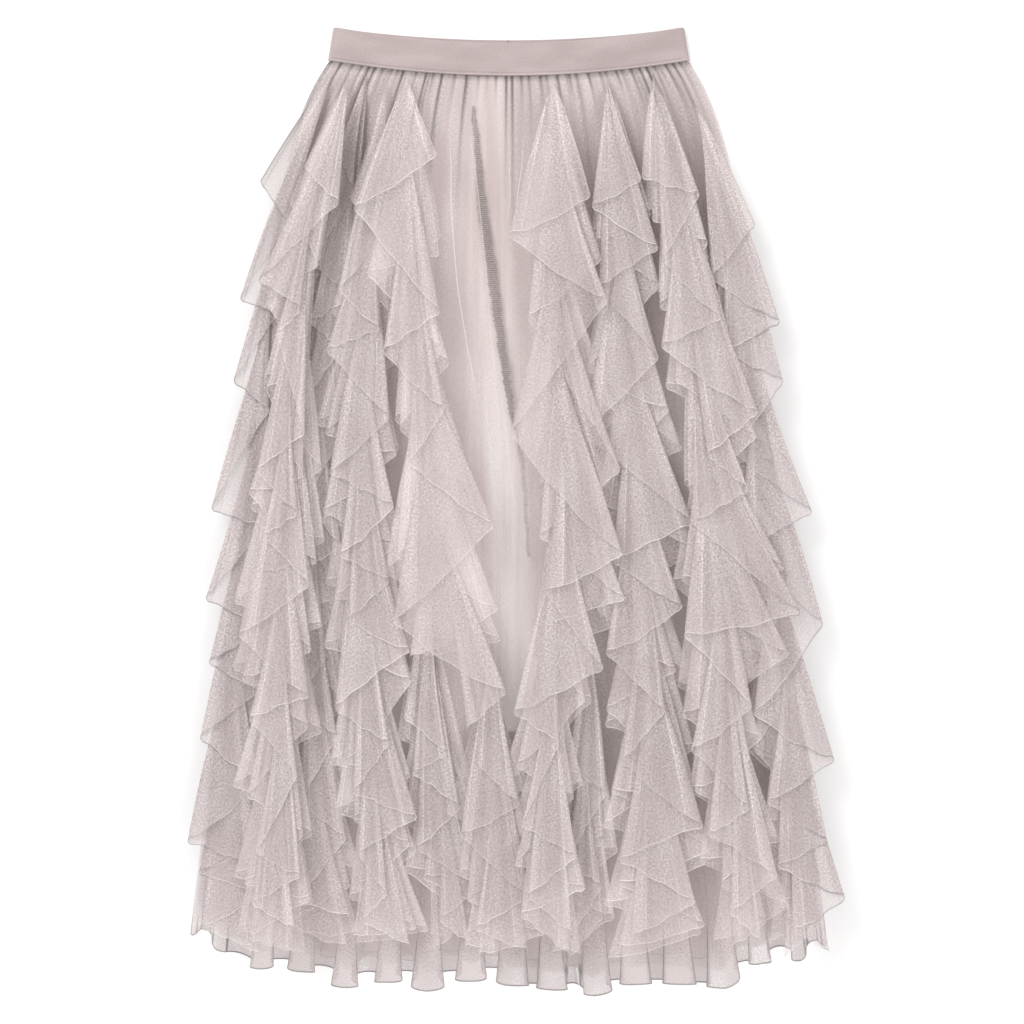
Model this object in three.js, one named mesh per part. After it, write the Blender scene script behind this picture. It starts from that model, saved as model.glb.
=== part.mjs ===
// A long tulle skirt laid flat on its back: an elastic waistband, a satin lining, an inner and an
// outer layer of tulle, and twelve ruffle strips that cascade down the front from waist to hem.
// Millimetres. +Z is up off the surface it lies on, +Y runs toward the waist, and +X is to the
// right seen from above. A drop is a distance down from the top corners of the waistband.
import * as THREE from "three";

// Driving dimensions
const LENGTH = 874;
const BAND_HEIGHT = 30;
const BAND_HALF = 164;
const BAND_WALL = 2.4;
const BAND_SAG = 13.5;
const BACK_BAND_STEP = 2.7;
const TULLE_WALL = 1;
const LINING_WALL = 1;
const SEAM_GAP = 0.3;

// The outline: half widths of the skirt, curved over the hip and then flaring evenly
const MIDDLE_X = -6.5;
const HIP_HALF = 194;
const FLARE = 0.109;
const HIP_CURVE = 34;
const HIP_FADE = 60;

// Heights of the layers over the surface, and how far the front lofts up off the back
const SIDE_Z = 1.8;
const OUTER_RISE = 4.4;
const LINING_RISE = 1.3;
const HEM_LOFT = 18;
const LOFT_RUN = 600;
const SIDE_FALL = 0.75;
const SHOULDER = { sharp: 18, soft: 4, run: 200, round: 0.6 };
const LINING_LOFT = 0.35;
const BACK_INSET = 2;
const BACK_SHORT = 12;

// The band's front wall, level with the top of the tulle, and the round of its folded ends
const BAND_FRONT_Z = SIDE_Z + OUTER_RISE + (TULLE_WALL - BAND_WALL) / 2;
const BAND_ROUND = (BAND_FRONT_Z - BAND_WALL / 2) / 2;
const BAND_STRAIGHT = BAND_HALF - BAND_WALL / 2 - BAND_ROUND;

// Lining: a plain flattened tube, narrower than the tulle, down to below the knee
const LINING_HALF = 148;
const LINING_FLARE = 0.1;
const LINING_DROP = 638;

// The two layers of tulle at the front: how high each rises at the waist, its share of the loft
// and of the flutes, and how much narrower and shorter it is than the outline
const OUTER = { rise: OUTER_RISE, loft: 1, flute: 1, inset: 0, short: 0 };
const INNER = { rise: 3, loft: 0.72, flute: 0.8, inset: 6.5, short: 26 };

// Waist gathers and hem flutes of the outer tulle, and how the flutes fade into the folded sides
const GATHER_LIFT = 1;
const GATHER_FADE = 90;
const FLUTE_LIFT = 6.5;
const FLUTE_START = 600;
const FLUTE_DIP = 7;
const FLUTE_SIDE_FADE = 8;

// Front seam of the outer tulle, as a share of the width at the waist and at the hem
const FRONT_SEAM = { waist: 0.4, hem: 0.61, gap: 0.6 };

// Ruffles: how long their folds hang, how they shingle, and how strips pass over one another
const FOLD_LENGTH = 150;
const FOLD_STEP = 8;
const RUFFLE_STEP = 12;
const STAND = 6;
const LEVEL_LIFT = 13;
const LIFT_BY = 0.2;
const SWING_BY = 0.6;
const RUFFLE_CLEAR = 0.6;
const FOLD_ROUND = { least: 0.75, most: 2.2, wall: 2 };
const LOW_RUFFLE = 0.45;
const RUFFLE_RUN = 100;
const SEATED_RUN = 60;

// How finely each piece is divided, and the shares of the way down at which it has a row
const BAND_STEPS = 16;
const LINING_STEPS = { across: 12, down: 6 };
const BACK_STEPS = { hem: 64, waist: 16 };
const BACK_SIDE_DROPS = [31, 60, 95, 140, 200, 300, 500, 700];
const INNER_COLUMNS = 64;
const INNER_DOWNS = [0, 0.12, 0.3, 0.55, 0.75, 0.88, 1];
const OUTER_COLUMNS = { left: 40, right: 36 };
const OUTER_DOWNS = [0, 0.035, 0.08, 0.2, 0.4, 0.62, 0.75, 0.86, 0.94, 1];
const FACE_STEPS = 3;

// Crests of the hem flutes: where each stands at the hem, and how far down it reaches
const FLUTES = table(["x", "drop"], [
  [-295, 823], [-268, 836], [-232, 851], [-192, 853], [-154, 867], [-116, 862],
  [-80, 870], [-40, 861], [-4, 865], [34, 869], [71, 874], [108, 864],
  [146, 864], [188, 868], [222, 846], [256, 845], [282, 833],
]);

// Ruffle strips from left to right. The seam is the line that the strip is sewn along, and each
// tip is a fold of its free edge, left and right in turn, from the waist down.
const RUFFLES = [
  {
    name: "ruffle_left_side",
    level: 0,
    seam: table(["x", "drop"], [
      [-162, 33], [-186, 77], [-202, 131], [-214, 190], [-222, 248], [-252, 518], [-278, 823],
    ]),
    tips: table(["x", "drop"], [
      [-230, 141], [-204, 178], [-248, 247], [-214, 259], [-254, 321], [-222, 347], [-274, 436],
      [-224, 450], [-279, 517], [-228, 540], [-276, 574], [-227, 598], [-284, 642], [-229, 679],
      [-295, 735], [-226, 758],
    ]),
  },
  {
    name: "ruffle_left_outer",
    level: 2,
    seam: table(["x", "drop"], [[-149, 36], [-194, 203], [-208, 383], [-210, 815]]),
    tips: table(["x", "drop"], [
      [-188, 130], [-158, 163], [-229, 233], [-192, 257], [-212, 280], [-188, 368], [-230, 402],
      [-194, 439], [-225, 460], [-183, 503], [-246, 548], [-184, 602], [-237, 623], [-194, 671],
      [-230, 739], [-191, 760], [-233, 785], [-196, 807],
    ]),
  },
  {
    name: "ruffle_left_middle",
    level: 0,
    seam: table(["x", "drop"], [
      [-133, 38], [-175, 212], [-182, 338], [-180, 428], [-184, 608], [-185, 815],
    ]),
    tips: table(["x", "drop"], [
      [-160, 113], [-146, 149], [-183, 214], [-150, 242], [-185, 268], [-158, 293], [-191, 338],
      [-158, 374], [-189, 430], [-156, 469], [-184, 487], [-170, 568], [-196, 611], [-160, 640],
      [-194, 700], [-152, 730], [-195, 785], [-148, 800],
    ]),
  },
  {
    name: "ruffle_left_inner",
    level: 1,
    seam: table(["x", "drop"], [[-115, 40], [-142, 320], [-136, 518], [-124, 815]]),
    tips: table(["x", "drop"], [
      [-148, 158], [-124, 194], [-158, 239], [-122, 275], [-169, 294], [-113, 354], [-166, 404],
      [-109, 433], [-157, 477], [-113, 500], [-149, 534], [-95, 562], [-161, 613], [-113, 644],
      [-145, 688], [-88, 710], [-140, 742], [-115, 778], [-136, 802], [-94, 825],
    ]),
  },
  {
    name: "ruffle_left_front",
    level: 2,
    seam: table(["x", "drop"], [[-100, 41], [-91, 293], [-68, 482]]),
    tips: table(["x", "drop"], [
      [-71, 120], [-144, 168], [-68, 261], [-118, 296], [-64, 347], [-95, 395], [-20, 451],
      [-108, 536], [-9, 598], [-43, 631],
    ]),
  },
  {
    name: "ruffle_low_left",
    level: 0,
    seam: table(["x", "drop"], [[-76, 500], [-72, 815]]),
    tips: table(["x", "drop"], [
      [-100, 622], [-62, 655], [-92, 672], [-50, 702], [-88, 739], [-33, 773], [-68, 802],
      [-41, 823],
    ]),
  },
  {
    name: "ruffle_low_middle",
    level: 1,
    seam: table(["x", "drop"], [[-23, 530], [-12, 815]]),
    tips: table(["x", "drop"], [[-34, 662], [3, 698], [-49, 725], [12, 780], [-36, 808], [10, 828]]),
  },
  {
    name: "ruffle_right_front",
    level: 2,
    seam: table(["x", "drop"], [[32, 44], [36, 248], [41, 428], [31, 608], [32, 815]]),
    tips: table(["x", "drop"], [
      [66, 157], [-6, 192], [81, 251], [-5, 369], [94, 476], [26, 509], [77, 577], [-2, 616],
      [38, 643], [5, 716], [53, 743], [10, 778], [49, 811],
    ]),
  },
  {
    name: "ruffle_low_right",
    level: 0,
    seam: table(["x", "drop"], [[62, 520], [65, 815]]),
    tips: table(["x", "drop"], [[47, 667], [81, 689], [45, 751], [76, 772], [49, 815]]),
  },
  {
    name: "ruffle_right_inner",
    level: 1,
    seam: table(["x", "drop"], [[82, 42], [98, 248], [112, 482], [125, 815]]),
    tips: table(["x", "drop"], [
      [112, 140], [68, 165], [127, 203], [74, 239], [127, 301], [60, 369], [157, 448], [86, 482],
      [148, 523], [80, 564], [132, 616], [94, 660], [166, 718], [92, 748], [159, 785], [103, 815],
    ]),
  },
  {
    name: "ruffle_right_outer",
    level: 2,
    seam: table(["x", "drop"], [
      [125, 38], [148, 158], [155, 248], [169, 383], [180, 482], [191, 608], [202, 815],
    ]),
    tips: table(["x", "drop"], [
      [112, 140], [163, 156], [131, 214], [182, 266], [129, 291], [215, 350], [170, 388],
      [206, 419], [157, 448], [253, 529], [149, 548], [209, 611], [155, 649], [206, 701],
      [170, 724], [231, 761], [190, 793], [217, 820],
    ]),
  },
  {
    name: "ruffle_right_side",
    level: 1,
    seam: table(["x", "drop"], [
      [141, 34], [173, 77], [189, 131], [201, 190], [209, 248], [239, 518], [265, 823],
    ]),
    tips: table(["x", "drop"], [
      [214, 181], [175, 229], [236, 269], [184, 295], [239, 322], [191, 383],
      [265, 439], [200, 469], [275, 539], [212, 618], [285, 661], [224, 697], [278, 733],
      [233, 754], [294, 784], [247, 811], [280, 833],
    ]),
  },
];

// Finishes
const FINISHES = {
  elastic: new THREE.MeshStandardMaterial({ color: 0xbfb0b0, roughness: 0.6, metalness: 0 }),
  satin: new THREE.MeshStandardMaterial({ color: 0xe2d6d3, roughness: 0.45, metalness: 0 }),
  tulle: new THREE.MeshStandardMaterial({ color: 0xc6b9b9, roughness: 0.85, metalness: 0 }),
};

function table(names, rows) {
  return rows.map((row) => Object.fromEntries(names.map((name, i) => [name, row[i]])));
}

function lerp(from, to, share) {
  return from + (to - from) * share;
}

function smooth(share) {
  const t = Math.min(1, Math.max(0, share));
  return t * t * (3 - 2 * t);
}

// Straight-line value of a table's column between its rows
function along(rows, key, at, value) {
  const next = rows.findIndex((row) => row[key] > at);
  if (next === 0) {
    return rows[0][value];
  }
  if (next < 0) {
    return rows[rows.length - 1][value];
  }
  const [before, after] = [rows[next - 1], rows[next]];
  return lerp(before[value], after[value], (at - before[key]) / (after[key] - before[key]));
}

function halfWidth(drop) {
  return HIP_HALF + FLARE * drop - HIP_CURVE * Math.exp((BAND_HEIGHT - drop) / HIP_FADE);
}

// Across the skirt, -1 at its left edge and 1 at its right one
function sideOf(x, drop) {
  return (x - MIDDLE_X) / halfWidth(drop);
}

function bandDip(side) {
  return BAND_SAG * (1 - side * side);
}

// Where the pieces below the band start at x, just clear of its lower edge
function waistDrop(x) {
  const side = Math.min(1, Math.abs(x - MIDDLE_X) / BAND_STRAIGHT);
  return BAND_HEIGHT + bandDip(side) + SEAM_GAP;
}

function loft(drop) {
  return HEM_LOFT * smooth((drop - BAND_HEIGHT) / LOFT_RUN);
}

// How a layer's height falls away to its folded side: sharply by the waist, softly below
function shoulder(side, drop) {
  const sharpness = lerp(SHOULDER.sharp, SHOULDER.soft, smooth((drop - BAND_HEIGHT) / SHOULDER.run));
  return Math.max(0, 1 - Math.abs(side) ** sharpness) ** SHOULDER.round;
}

function fluteHeight(drop) {
  return FLUTE_LIFT * smooth((drop - FLUTE_START) / (LENGTH - FLUTE_START));
}

function gatherHeight(drop) {
  return GATHER_LIFT * (1 - smooth((drop - BAND_HEIGHT) / GATHER_FADE));
}

// The flute at a place along the hem: its wave from -1 to 1, and how far down the hem reaches
function flute(side) {
  const x = MIDDLE_X + side * halfWidth(LENGTH);
  const last = FLUTES.length - 2;
  const found = FLUTES.findIndex((row, i) => i > 0 && row.x > x) - 1;
  const [from, to] = found < 0 ? FLUTES.slice(last) : FLUTES.slice(found, found + 2);
  const share = (x - from.x) / (to.x - from.x);
  const wave = Math.cos(2 * Math.PI * share);
  return { wave, drop: lerp(from.drop, to.drop, share) - (FLUTE_DIP * (1 - wave)) / 2 };
}

function place(x, drop, z) {
  return new THREE.Vector3(x, LENGTH / 2 - drop, z);
}

// A point of a front layer, side of the way across and share of the way down
function frontPoint(side, share, layer, lift = 0) {
  const fold = flute(side);
  const waistX = MIDDLE_X + side * (halfWidth(BAND_HEIGHT) - layer.inset);
  const drop = lerp(waistDrop(waistX), fold.drop - layer.short, share);
  const half = halfWidth(lerp(BAND_HEIGHT, LENGTH, share)) - layer.inset;
  const height = (layer.rise + layer.loft * loft(drop)) * shoulder(side, drop);
  const wave = layer.flute * fluteHeight(drop) * fold.wave * (1 - side ** FLUTE_SIDE_FADE);
  return place(MIDDLE_X + side * half, drop, SIDE_Z + height + wave + lift * gatherHeight(drop));
}

// A direction off the surface at each point of a grid, each face around it counted once, so that
// at a sharp fold it points straight out of the fold
function normalsOf(points, quads) {
  const normals = points.map(() => new THREE.Vector3());
  const [down, up] = [new THREE.Vector3(), new THREE.Vector3()];
  quads.forEach(([a, b, c, d]) => {
    down.subVectors(points[c], points[a]);
    up.subVectors(points[d], points[b]);
    const off = down.cross(up).normalize();
    [a, b, c, d].forEach((corner) => normals[corner].add(off));
  });
  return normals.map((normal) => normal.normalize());
}

// The closed wall over a grid of rows, half its thickness to each side of them, where each row
// runs across, joined round into a ring where told
function gridWall(rows, thickness, ring = false) {
  const across = rows[0].length;
  const quads = [];
  for (let r = 0; r + 1 < rows.length; r += 1) {
    for (let c = 0; c < across - (ring ? 0 : 1); c += 1) {
      const here = r * across + c;
      const next = r * across + ((c + 1) % across);
      quads.push([here, here + across, next + across, next]);
    }
  }
  const points = rows.flat();
  const normals = normalsOf(points, quads);
  const outer = points.map((p, i) => p.clone().addScaledVector(normals[i], thickness / 2));
  const inner = points.map((p, i) => p.clone().addScaledVector(normals[i], -thickness / 2));
  const count = points.length;
  const faces = [];
  const edges = new Set();
  quads.flatMap(([a, b, c, d]) => [[a, b, d], [d, b, c]]).forEach(([a, b, c]) => {
    faces.push(a, b, c, c + count, b + count, a + count);
    [[a, b], [b, c], [c, a]].forEach((edge) => edges.add(edge.join()));
  });
  edges.forEach((edge) => {
    const [from, to] = edge.split(",").map(Number);
    if (!edges.has([to, from].join())) {
      faces.push(to, from, from + count, to, from + count, to + count);
    }
  });
  const closed = new THREE.BufferGeometry().setFromPoints([...outer, ...inner]);
  closed.setIndex(faces);
  closed.computeVertexNormals();
  return closed;
}

function piece(name, geometry, material) {
  const mesh = new THREE.Mesh(geometry, material);
  mesh.name = name;
  return mesh;
}

function steps(count) {
  return Array.from({ length: count + 1 }, (_, i) => i / count);
}

// Waistband: a flattened ring of elastic, its back wall resting and its front wall on top
function waistband() {
  const back = BAND_WALL / 2;
  const across = steps(BAND_STEPS);
  const ring = [
    ...across.map((s) => ({ side: 1 - 2 * s, out: 0, z: BAND_FRONT_Z, step: 0 })),
    { side: -1, out: -BAND_ROUND, z: back + BAND_ROUND, step: 0 },
    ...across.map((s) => ({ side: 2 * s - 1, out: 0, z: back, step: BACK_BAND_STEP })),
    { side: 1, out: BAND_ROUND, z: back + BAND_ROUND, step: 0 },
  ];
  const rows = [1, 0].map((down) =>
    ring.map(({ side, out, z, step }) => {
      const dip = bandDip(side) - step * (1 - side * side) * (1 - down);
      return place(MIDDLE_X + side * BAND_STRAIGHT + out, dip + down * BAND_HEIGHT, z);
    }),
  );
  return piece("waistband", gridWall(rows, BAND_WALL, true), FINISHES.elastic);
}

// Lining: a flattened tube whose front wall lies on its back wall
function lining() {
  const rows = steps(LINING_STEPS.down).reverse().map((share) => {
    const nominal = lerp(BAND_HEIGHT, LINING_DROP, share);
    const half = LINING_HALF + LINING_FLARE * (nominal - BAND_HEIGHT);
    const at = (side, rise, out) => {
      const drop = lerp(waistDrop(MIDDLE_X + side * LINING_HALF), LINING_DROP, share);
      const height = rise * (LINING_RISE + LINING_LOFT * loft(drop) * shoulder(side, drop));
      return place(MIDDLE_X + side * half + out, drop, SIDE_Z + height);
    };
    const across = steps(LINING_STEPS.across);
    return [
      ...across.map((s) => at(1 - 2 * s, 1, 0)),
      at(-1, 0.5, -LINING_RISE / 2),
      ...across.map((s) => at(2 * s - 1, 0, 0)),
      at(1, 0.5, LINING_RISE / 2),
    ];
  });
  return piece("lining", gridWall(rows, LINING_WALL, true), FINISHES.satin);
}

// Back of the tulle: flat on the surface, with the hem's scallops
function tulleBack() {
  const edge = (sign) =>
    BACK_SIDE_DROPS.map((drop) => {
      const x = MIDDLE_X + sign * (halfWidth(drop) - BACK_INSET);
      return new THREE.Vector2(x, LENGTH / 2 - drop);
    });
  const hem = steps(BACK_STEPS.hem).slice(1, -1).map((s) => {
    const side = 2 * s - 1;
    const x = MIDDLE_X + side * (halfWidth(LENGTH) - BACK_INSET);
    return new THREE.Vector2(x, LENGTH / 2 - flute(side).drop + BACK_SHORT);
  });
  const waist = steps(BACK_STEPS.waist).slice(1, -1).map((s) => {
    const x = MIDDLE_X + (1 - 2 * s) * (BAND_HALF - BACK_INSET);
    return new THREE.Vector2(x, LENGTH / 2 - waistDrop(x));
  });
  const outline = new THREE.Shape([...edge(-1), ...hem, ...edge(1).reverse(), ...waist]);
  const plate = new THREE.ExtrudeGeometry(outline, { depth: TULLE_WALL, bevelEnabled: false });
  return piece("tulle_back", plate, FINISHES.tulle);
}

// Inner layer of tulle over the front of the lining, with flutes under those of the outer one
function tulleInnerFront() {
  const rows = INNER_DOWNS.map((share) =>
    steps(INNER_COLUMNS).map((s) => frontPoint(2 * s - 1, share, INNER)),
  );
  return piece("tulle_inner_front", gridWall(rows, TULLE_WALL), FINISHES.tulle);
}

// One side of the outer tulle front, from its folded side to the front seam, gathered at the waist
function tulleFront(name, sign, columns) {
  const rows = OUTER_DOWNS.map((share) => {
    const seam = 2 * lerp(FRONT_SEAM.waist, FRONT_SEAM.hem, share) - 1;
    const gap = FRONT_SEAM.gap / 2 / halfWidth(lerp(BAND_HEIGHT, LENGTH, share));
    const [from, to] = sign < 0 ? [-1, seam - gap] : [seam + gap, 1];
    return steps(columns).map((s, i) => {
      return frontPoint(lerp(from, to, s), share, OUTER, i % 2);
    });
  });
  return piece(name, gridWall(rows, TULLE_WALL), FINISHES.tulle);
}

// Height of the ground that a ruffle stands on, over the highest folds of the outer tulle. Just
// below the band its seam lies on the tulle, also at the side, where that falls away.
function ground(x, drop, lifted) {
  const side = sideOf(x, drop);
  const sewn = (OUTER_RISE + loft(drop)) * shoulder(side, drop);
  const free = OUTER_RISE + loft(drop) * (1 - SIDE_FALL * side ** 4);
  const top = SIDE_Z + TULLE_WALL / 2 + fluteHeight(drop) + gatherHeight(drop);
  const clear = Math.max(lifted, smooth((drop - BAND_HEIGHT) / SEATED_RUN));
  return top + lerp(sewn, Math.max(sewn, free), clear);
}

// Folds of a strip: each tip with its place on the seam and the roundness of its turn
function foldsOf({ seam, tips }) {
  let sewn = seam[0].drop - FOLD_STEP;
  return tips.map((tip, i) => {
    sewn = Math.max(sewn + FOLD_STEP, tip.drop - FOLD_LENGTH);
    const near = [tips[i - 2], tips[i + 2]].filter(Boolean);
    const apart = Math.min(...near.map((other) => Math.abs(other.drop - tip.drop)));
    const free = (RUFFLE_STEP * apart) / FOLD_LENGTH - FOLD_ROUND.wall;
    const round = Math.min(FOLD_ROUND.most, Math.max(FOLD_ROUND.least, free / 2));
    return { tip, round, sewn: { x: along(seam, "drop", sewn, "x"), drop: sewn } };
  });
}

// A point of a ruffle: down from its seam by out, and across the face between two folds by s
function rufflePoint(level, from, to, s, out) {
  const turn = (1 - Math.cos(Math.PI * s)) / 2;
  const sewnX = lerp(from.sewn.x, to.sewn.x, s);
  const sewnDrop = lerp(from.sewn.drop, to.sewn.drop, s);
  const x = lerp(sewnX, lerp(from.tip.x, to.tip.x, turn), out);
  const drop = lerp(sewnDrop, lerp(from.tip.drop, to.tip.drop, turn), out);
  const lifted = Math.min(1, out / LIFT_BY);
  const round = s < 0.5 ? from.round : to.round;
  const swing = round * smooth(out / SWING_BY) * Math.sin(2 * Math.PI * s);
  const scale = lerp(LOW_RUFFLE, 1, smooth((drop - BAND_HEIGHT) / RUFFLE_RUN));
  const height = scale * ((STAND + level * LEVEL_LIFT) * lifted + RUFFLE_STEP * out - swing);
  return place(x, drop, ground(x, drop, lifted) + RUFFLE_CLEAR + height);
}

// One ruffle strip: a face between each pair of folds, shingled from the waist down
function ruffle(strip) {
  const folds = foldsOf(strip);
  const rows = [0, LIFT_BY, SWING_BY, 1].map((out) => {
    const row = folds.slice(0, -1).flatMap((from, k) =>
      steps(FACE_STEPS).slice(0, -1).map((s) => {
        return rufflePoint(strip.level, from, folds[k + 1], s, out);
      }),
    );
    row.push(rufflePoint(strip.level, folds[folds.length - 2], folds[folds.length - 1], 1, out));
    return row;
  });
  return piece(strip.name, gridWall(rows, TULLE_WALL), FINISHES.tulle);
}

const group = new THREE.Group();
group.add(
  waistband(),
  lining(),
  tulleBack(),
  tulleInnerFront(),
  tulleFront("tulle_front_left", -1, OUTER_COLUMNS.left),
  tulleFront("tulle_front_right", 1, OUTER_COLUMNS.right),
  ...RUFFLES.map(ruffle),
);

export default group;
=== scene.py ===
"""A long tulle skirt laid flat on its back, dressed over its rigid frame.

The frame's solids give every piece its place and size. Each soft piece is made again here as a
fine sheet on the same form: the elastic waistband with its sewing, the satin lining, two layers of
tulle with waist gathers and hem flutes, and twelve ruffle strips that cascade down the front.
Sizes in the tables are millimetres: x to the right, drop down from the waistband's top corners.
"""

from __future__ import annotations

import logging
import math
from dataclasses import dataclass, field, replace
from enum import Enum
from typing import Any

import bpy
import numpy as np
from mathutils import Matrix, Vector

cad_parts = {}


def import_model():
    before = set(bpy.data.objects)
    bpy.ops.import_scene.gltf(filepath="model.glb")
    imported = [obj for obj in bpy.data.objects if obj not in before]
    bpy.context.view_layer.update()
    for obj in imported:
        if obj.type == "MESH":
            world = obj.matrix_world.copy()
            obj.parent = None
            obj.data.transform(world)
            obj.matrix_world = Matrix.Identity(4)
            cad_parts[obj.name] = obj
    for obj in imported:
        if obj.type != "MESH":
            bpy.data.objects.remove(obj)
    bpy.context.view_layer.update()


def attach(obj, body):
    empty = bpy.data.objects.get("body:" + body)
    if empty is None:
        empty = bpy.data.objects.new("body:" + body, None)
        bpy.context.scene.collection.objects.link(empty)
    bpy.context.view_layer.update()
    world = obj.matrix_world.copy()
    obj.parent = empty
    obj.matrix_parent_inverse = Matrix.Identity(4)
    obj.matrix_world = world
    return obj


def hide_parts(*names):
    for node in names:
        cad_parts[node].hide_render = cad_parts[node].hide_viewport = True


LOG = logging.getLogger("skirt")
MM = 0.001
Array = np.ndarray

# The crests of the hem's flutes: x, drop.
FLUTES = [
    (-295, 823), (-268, 836), (-232, 851), (-192, 853), (-154, 867), (-116, 862),
    (-80, 870), (-40, 861), (-4, 865), (34, 869), (71, 874), (108, 864),
    (146, 864), (188, 868), (222, 846), (256, 845), (282, 833),
]

# Where a flute turns back under itself, in shares of the way from crest to crest.
FLUTE_TURNS = (0.164, 0.346, 0.654, 0.836)

# A distance in millimetres at which no line is drawn any more.
FAR = 99.0

# The gap between the front strips, where the lining shows through.
V_GAP = {
    "drop": (60, 203, 383, 482, 590, 640),
    "x": (-24, -24, -12, -1, 2, 6),
    "half": (19, 25, 24, 20, 18, 24),
}

# Turned bands of net by the front seam: the spots of each one's left edge, then of its right
# edge. A spot is x, drop.
TURNED_BANDS = [
    (
        [
            (-60, 90), (-59, 121), (-59, 156), (-57, 190), (-53, 235), (-45, 285), (-36, 330),
            (-31, 380),
        ],
        [
            (-43, 90), (-38, 121), (-33, 162), (-28, 211), (-25, 247), (-22, 290), (-18, 330),
            (-14, 380),
        ],
    ),
    (
        [(-2, 85), (-6, 128), (-5, 156), (-10, 190), (-13, 225)],
        [(8, 85), (5, 128), (1, 156), (-3, 190), (-8, 225)],
    ),
    (
        [(-30, 287), (-27, 344), (-21, 402), (-17, 428), (-12, 480)],
        [(-17, 287), (-13, 344), (-6, 402), (-3, 419), (2, 480)],
    ),
]

# Strips whose under ply lets the light through to the lining beside it.
BY_THE_GAP = ("ruffle_left_front",)


class Held(Enum):
    """How a sheet of cloth is held."""

    GATHERED = "gathered"
    LAID = "laid"


class Slot(Enum):
    """The part's finishes."""

    ELASTIC = "elastic"
    SATIN = "satin"
    TULLE = "tulle"
    RUFFLE_TULLE = "ruffle_tulle"


def linear(red: int, green: int, blue: int) -> tuple[float, float, float, float]:
    """Turn a screen colour into the linear one that a shader takes.

    Args:
        red: Red from 0 to 255.
        green: Green from 0 to 255.
        blue: Blue from 0 to 255.

    Returns:
        The colour with an alpha of 1.
    """
    shares = [value / 255 for value in (red, green, blue)]
    parts = [v / 12.92 if v <= 0.04045 else ((v + 0.055) / 1.055) ** 2.4 for v in shares]
    return (parts[0], parts[1], parts[2], 1.0)


def smooth(share: Any) -> Any:
    """Ease a share from 0 to 1, flat at both ends."""
    t = np.clip(share, 0, 1)
    return t * t * (3 - 2 * t)


def eased(value: Any, start: Any, run: Any) -> Any:
    """Ease from 0 to 1 while a value goes from start over a run."""
    return smooth((value - start) / run)


def lerp(start: Any, end: Any, share: Any) -> Any:
    """Go from start to end by a share."""
    return start + (end - start) * share


def lengths(line: Array) -> Array:
    """Measure how far along a line of points each of them is."""
    return np.concatenate([[0], np.cumsum(np.linalg.norm(np.diff(line, axis=0), axis=1))])


def follow(line: list[tuple[float, ...]], drop: Any) -> Any:
    """Find the x of a line of spots (x, drop) at a drop."""
    return np.interp(drop, [spot[1] for spot in line], [spot[0] for spot in line])


def gap_at(drop: Any, column: str) -> Any:
    """Read a column of the front gap's table at a drop."""
    return np.interp(drop, V_GAP["drop"], V_GAP[column])


def cloudy(across: Array, along: Array, seed: int) -> Array:
    """Take smooth flat noise.

    Args:
        across: Places across, in cells.
        along: Places along, in cells.
        seed: Which noise.

    Returns:
        Values from -0.5 to 0.5.
    """
    wide, long = 61, 53
    table = np.random.default_rng(seed).uniform(-0.5, 0.5, (wide, long))
    across, along = np.broadcast_arrays(across, along)
    column, row = np.floor(across).astype(int), np.floor(along).astype(int)
    right, low = smooth(across - column), smooth(along - row)
    corners = [table[(column + i) % wide, (row + j) % long] for j in (0, 1) for i in (0, 1)]
    return lerp(lerp(corners[0], corners[1], right), lerp(corners[2], corners[3], right), low)


class Shade:
    """A value in a shader, which arithmetic on it extends with Math nodes."""

    def __init__(self, finish: "Finish", socket: bpy.types.NodeSocket) -> None:
        """Keep the socket and the material that it is in."""
        self.finish = finish
        self.socket = socket

    def _math(self, operation: str, *values: Any) -> "Shade":
        """Add a Math node on these values."""
        inputs = dict(enumerate(values))
        return self.finish.node("ShaderNodeMath", {"operation": operation}, inputs)

    def __add__(self, other: Any) -> "Shade":
        """Add a value."""
        return self._math("ADD", self, other)

    __radd__ = __add__

    def __sub__(self, other: Any) -> "Shade":
        """Take a value away."""
        return self._math("SUBTRACT", self, other)

    def __rsub__(self, other: Any) -> "Shade":
        """Take this away from a value."""
        return self._math("SUBTRACT", other, self)

    def __mul__(self, other: Any) -> "Shade":
        """Multiply by a value."""
        return self._math("MULTIPLY", self, other)

    __rmul__ = __mul__

    def sine(self) -> "Shade":
        """Take the sine."""
        return self._math("SINE", self)

    def most(self, other: Any) -> "Shade":
        """Take the larger of two values."""
        return self._math("MAXIMUM", self, other)

    def size(self) -> "Shade":
        """Drop the sign."""
        return self._math("ABSOLUTE", self)

    def share(self) -> "Shade":
        """Keep the value from 0 to 1."""
        return self._math("MINIMUM", self.most(0.0), 1.0)

    def ramp(self, low: float, high: float, start: float = 0.0, end: float = 1.0) -> "Shade":
        """Ease from start to end as this goes from low to high.

        Args:
            low: Where the ease starts.
            high: Where the ease ends.
            start: The value at low and before.
            end: The value at high and after.

        Returns:
            The eased value.
        """
        inputs = {"Value": self, "From Min": low, "From Max": high, "To Min": start, "To Max": end}
        return self.finish.node(
            "ShaderNodeMapRange", {"interpolation_type": "SMOOTHSTEP", "clamp": True}, inputs
        )


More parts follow.
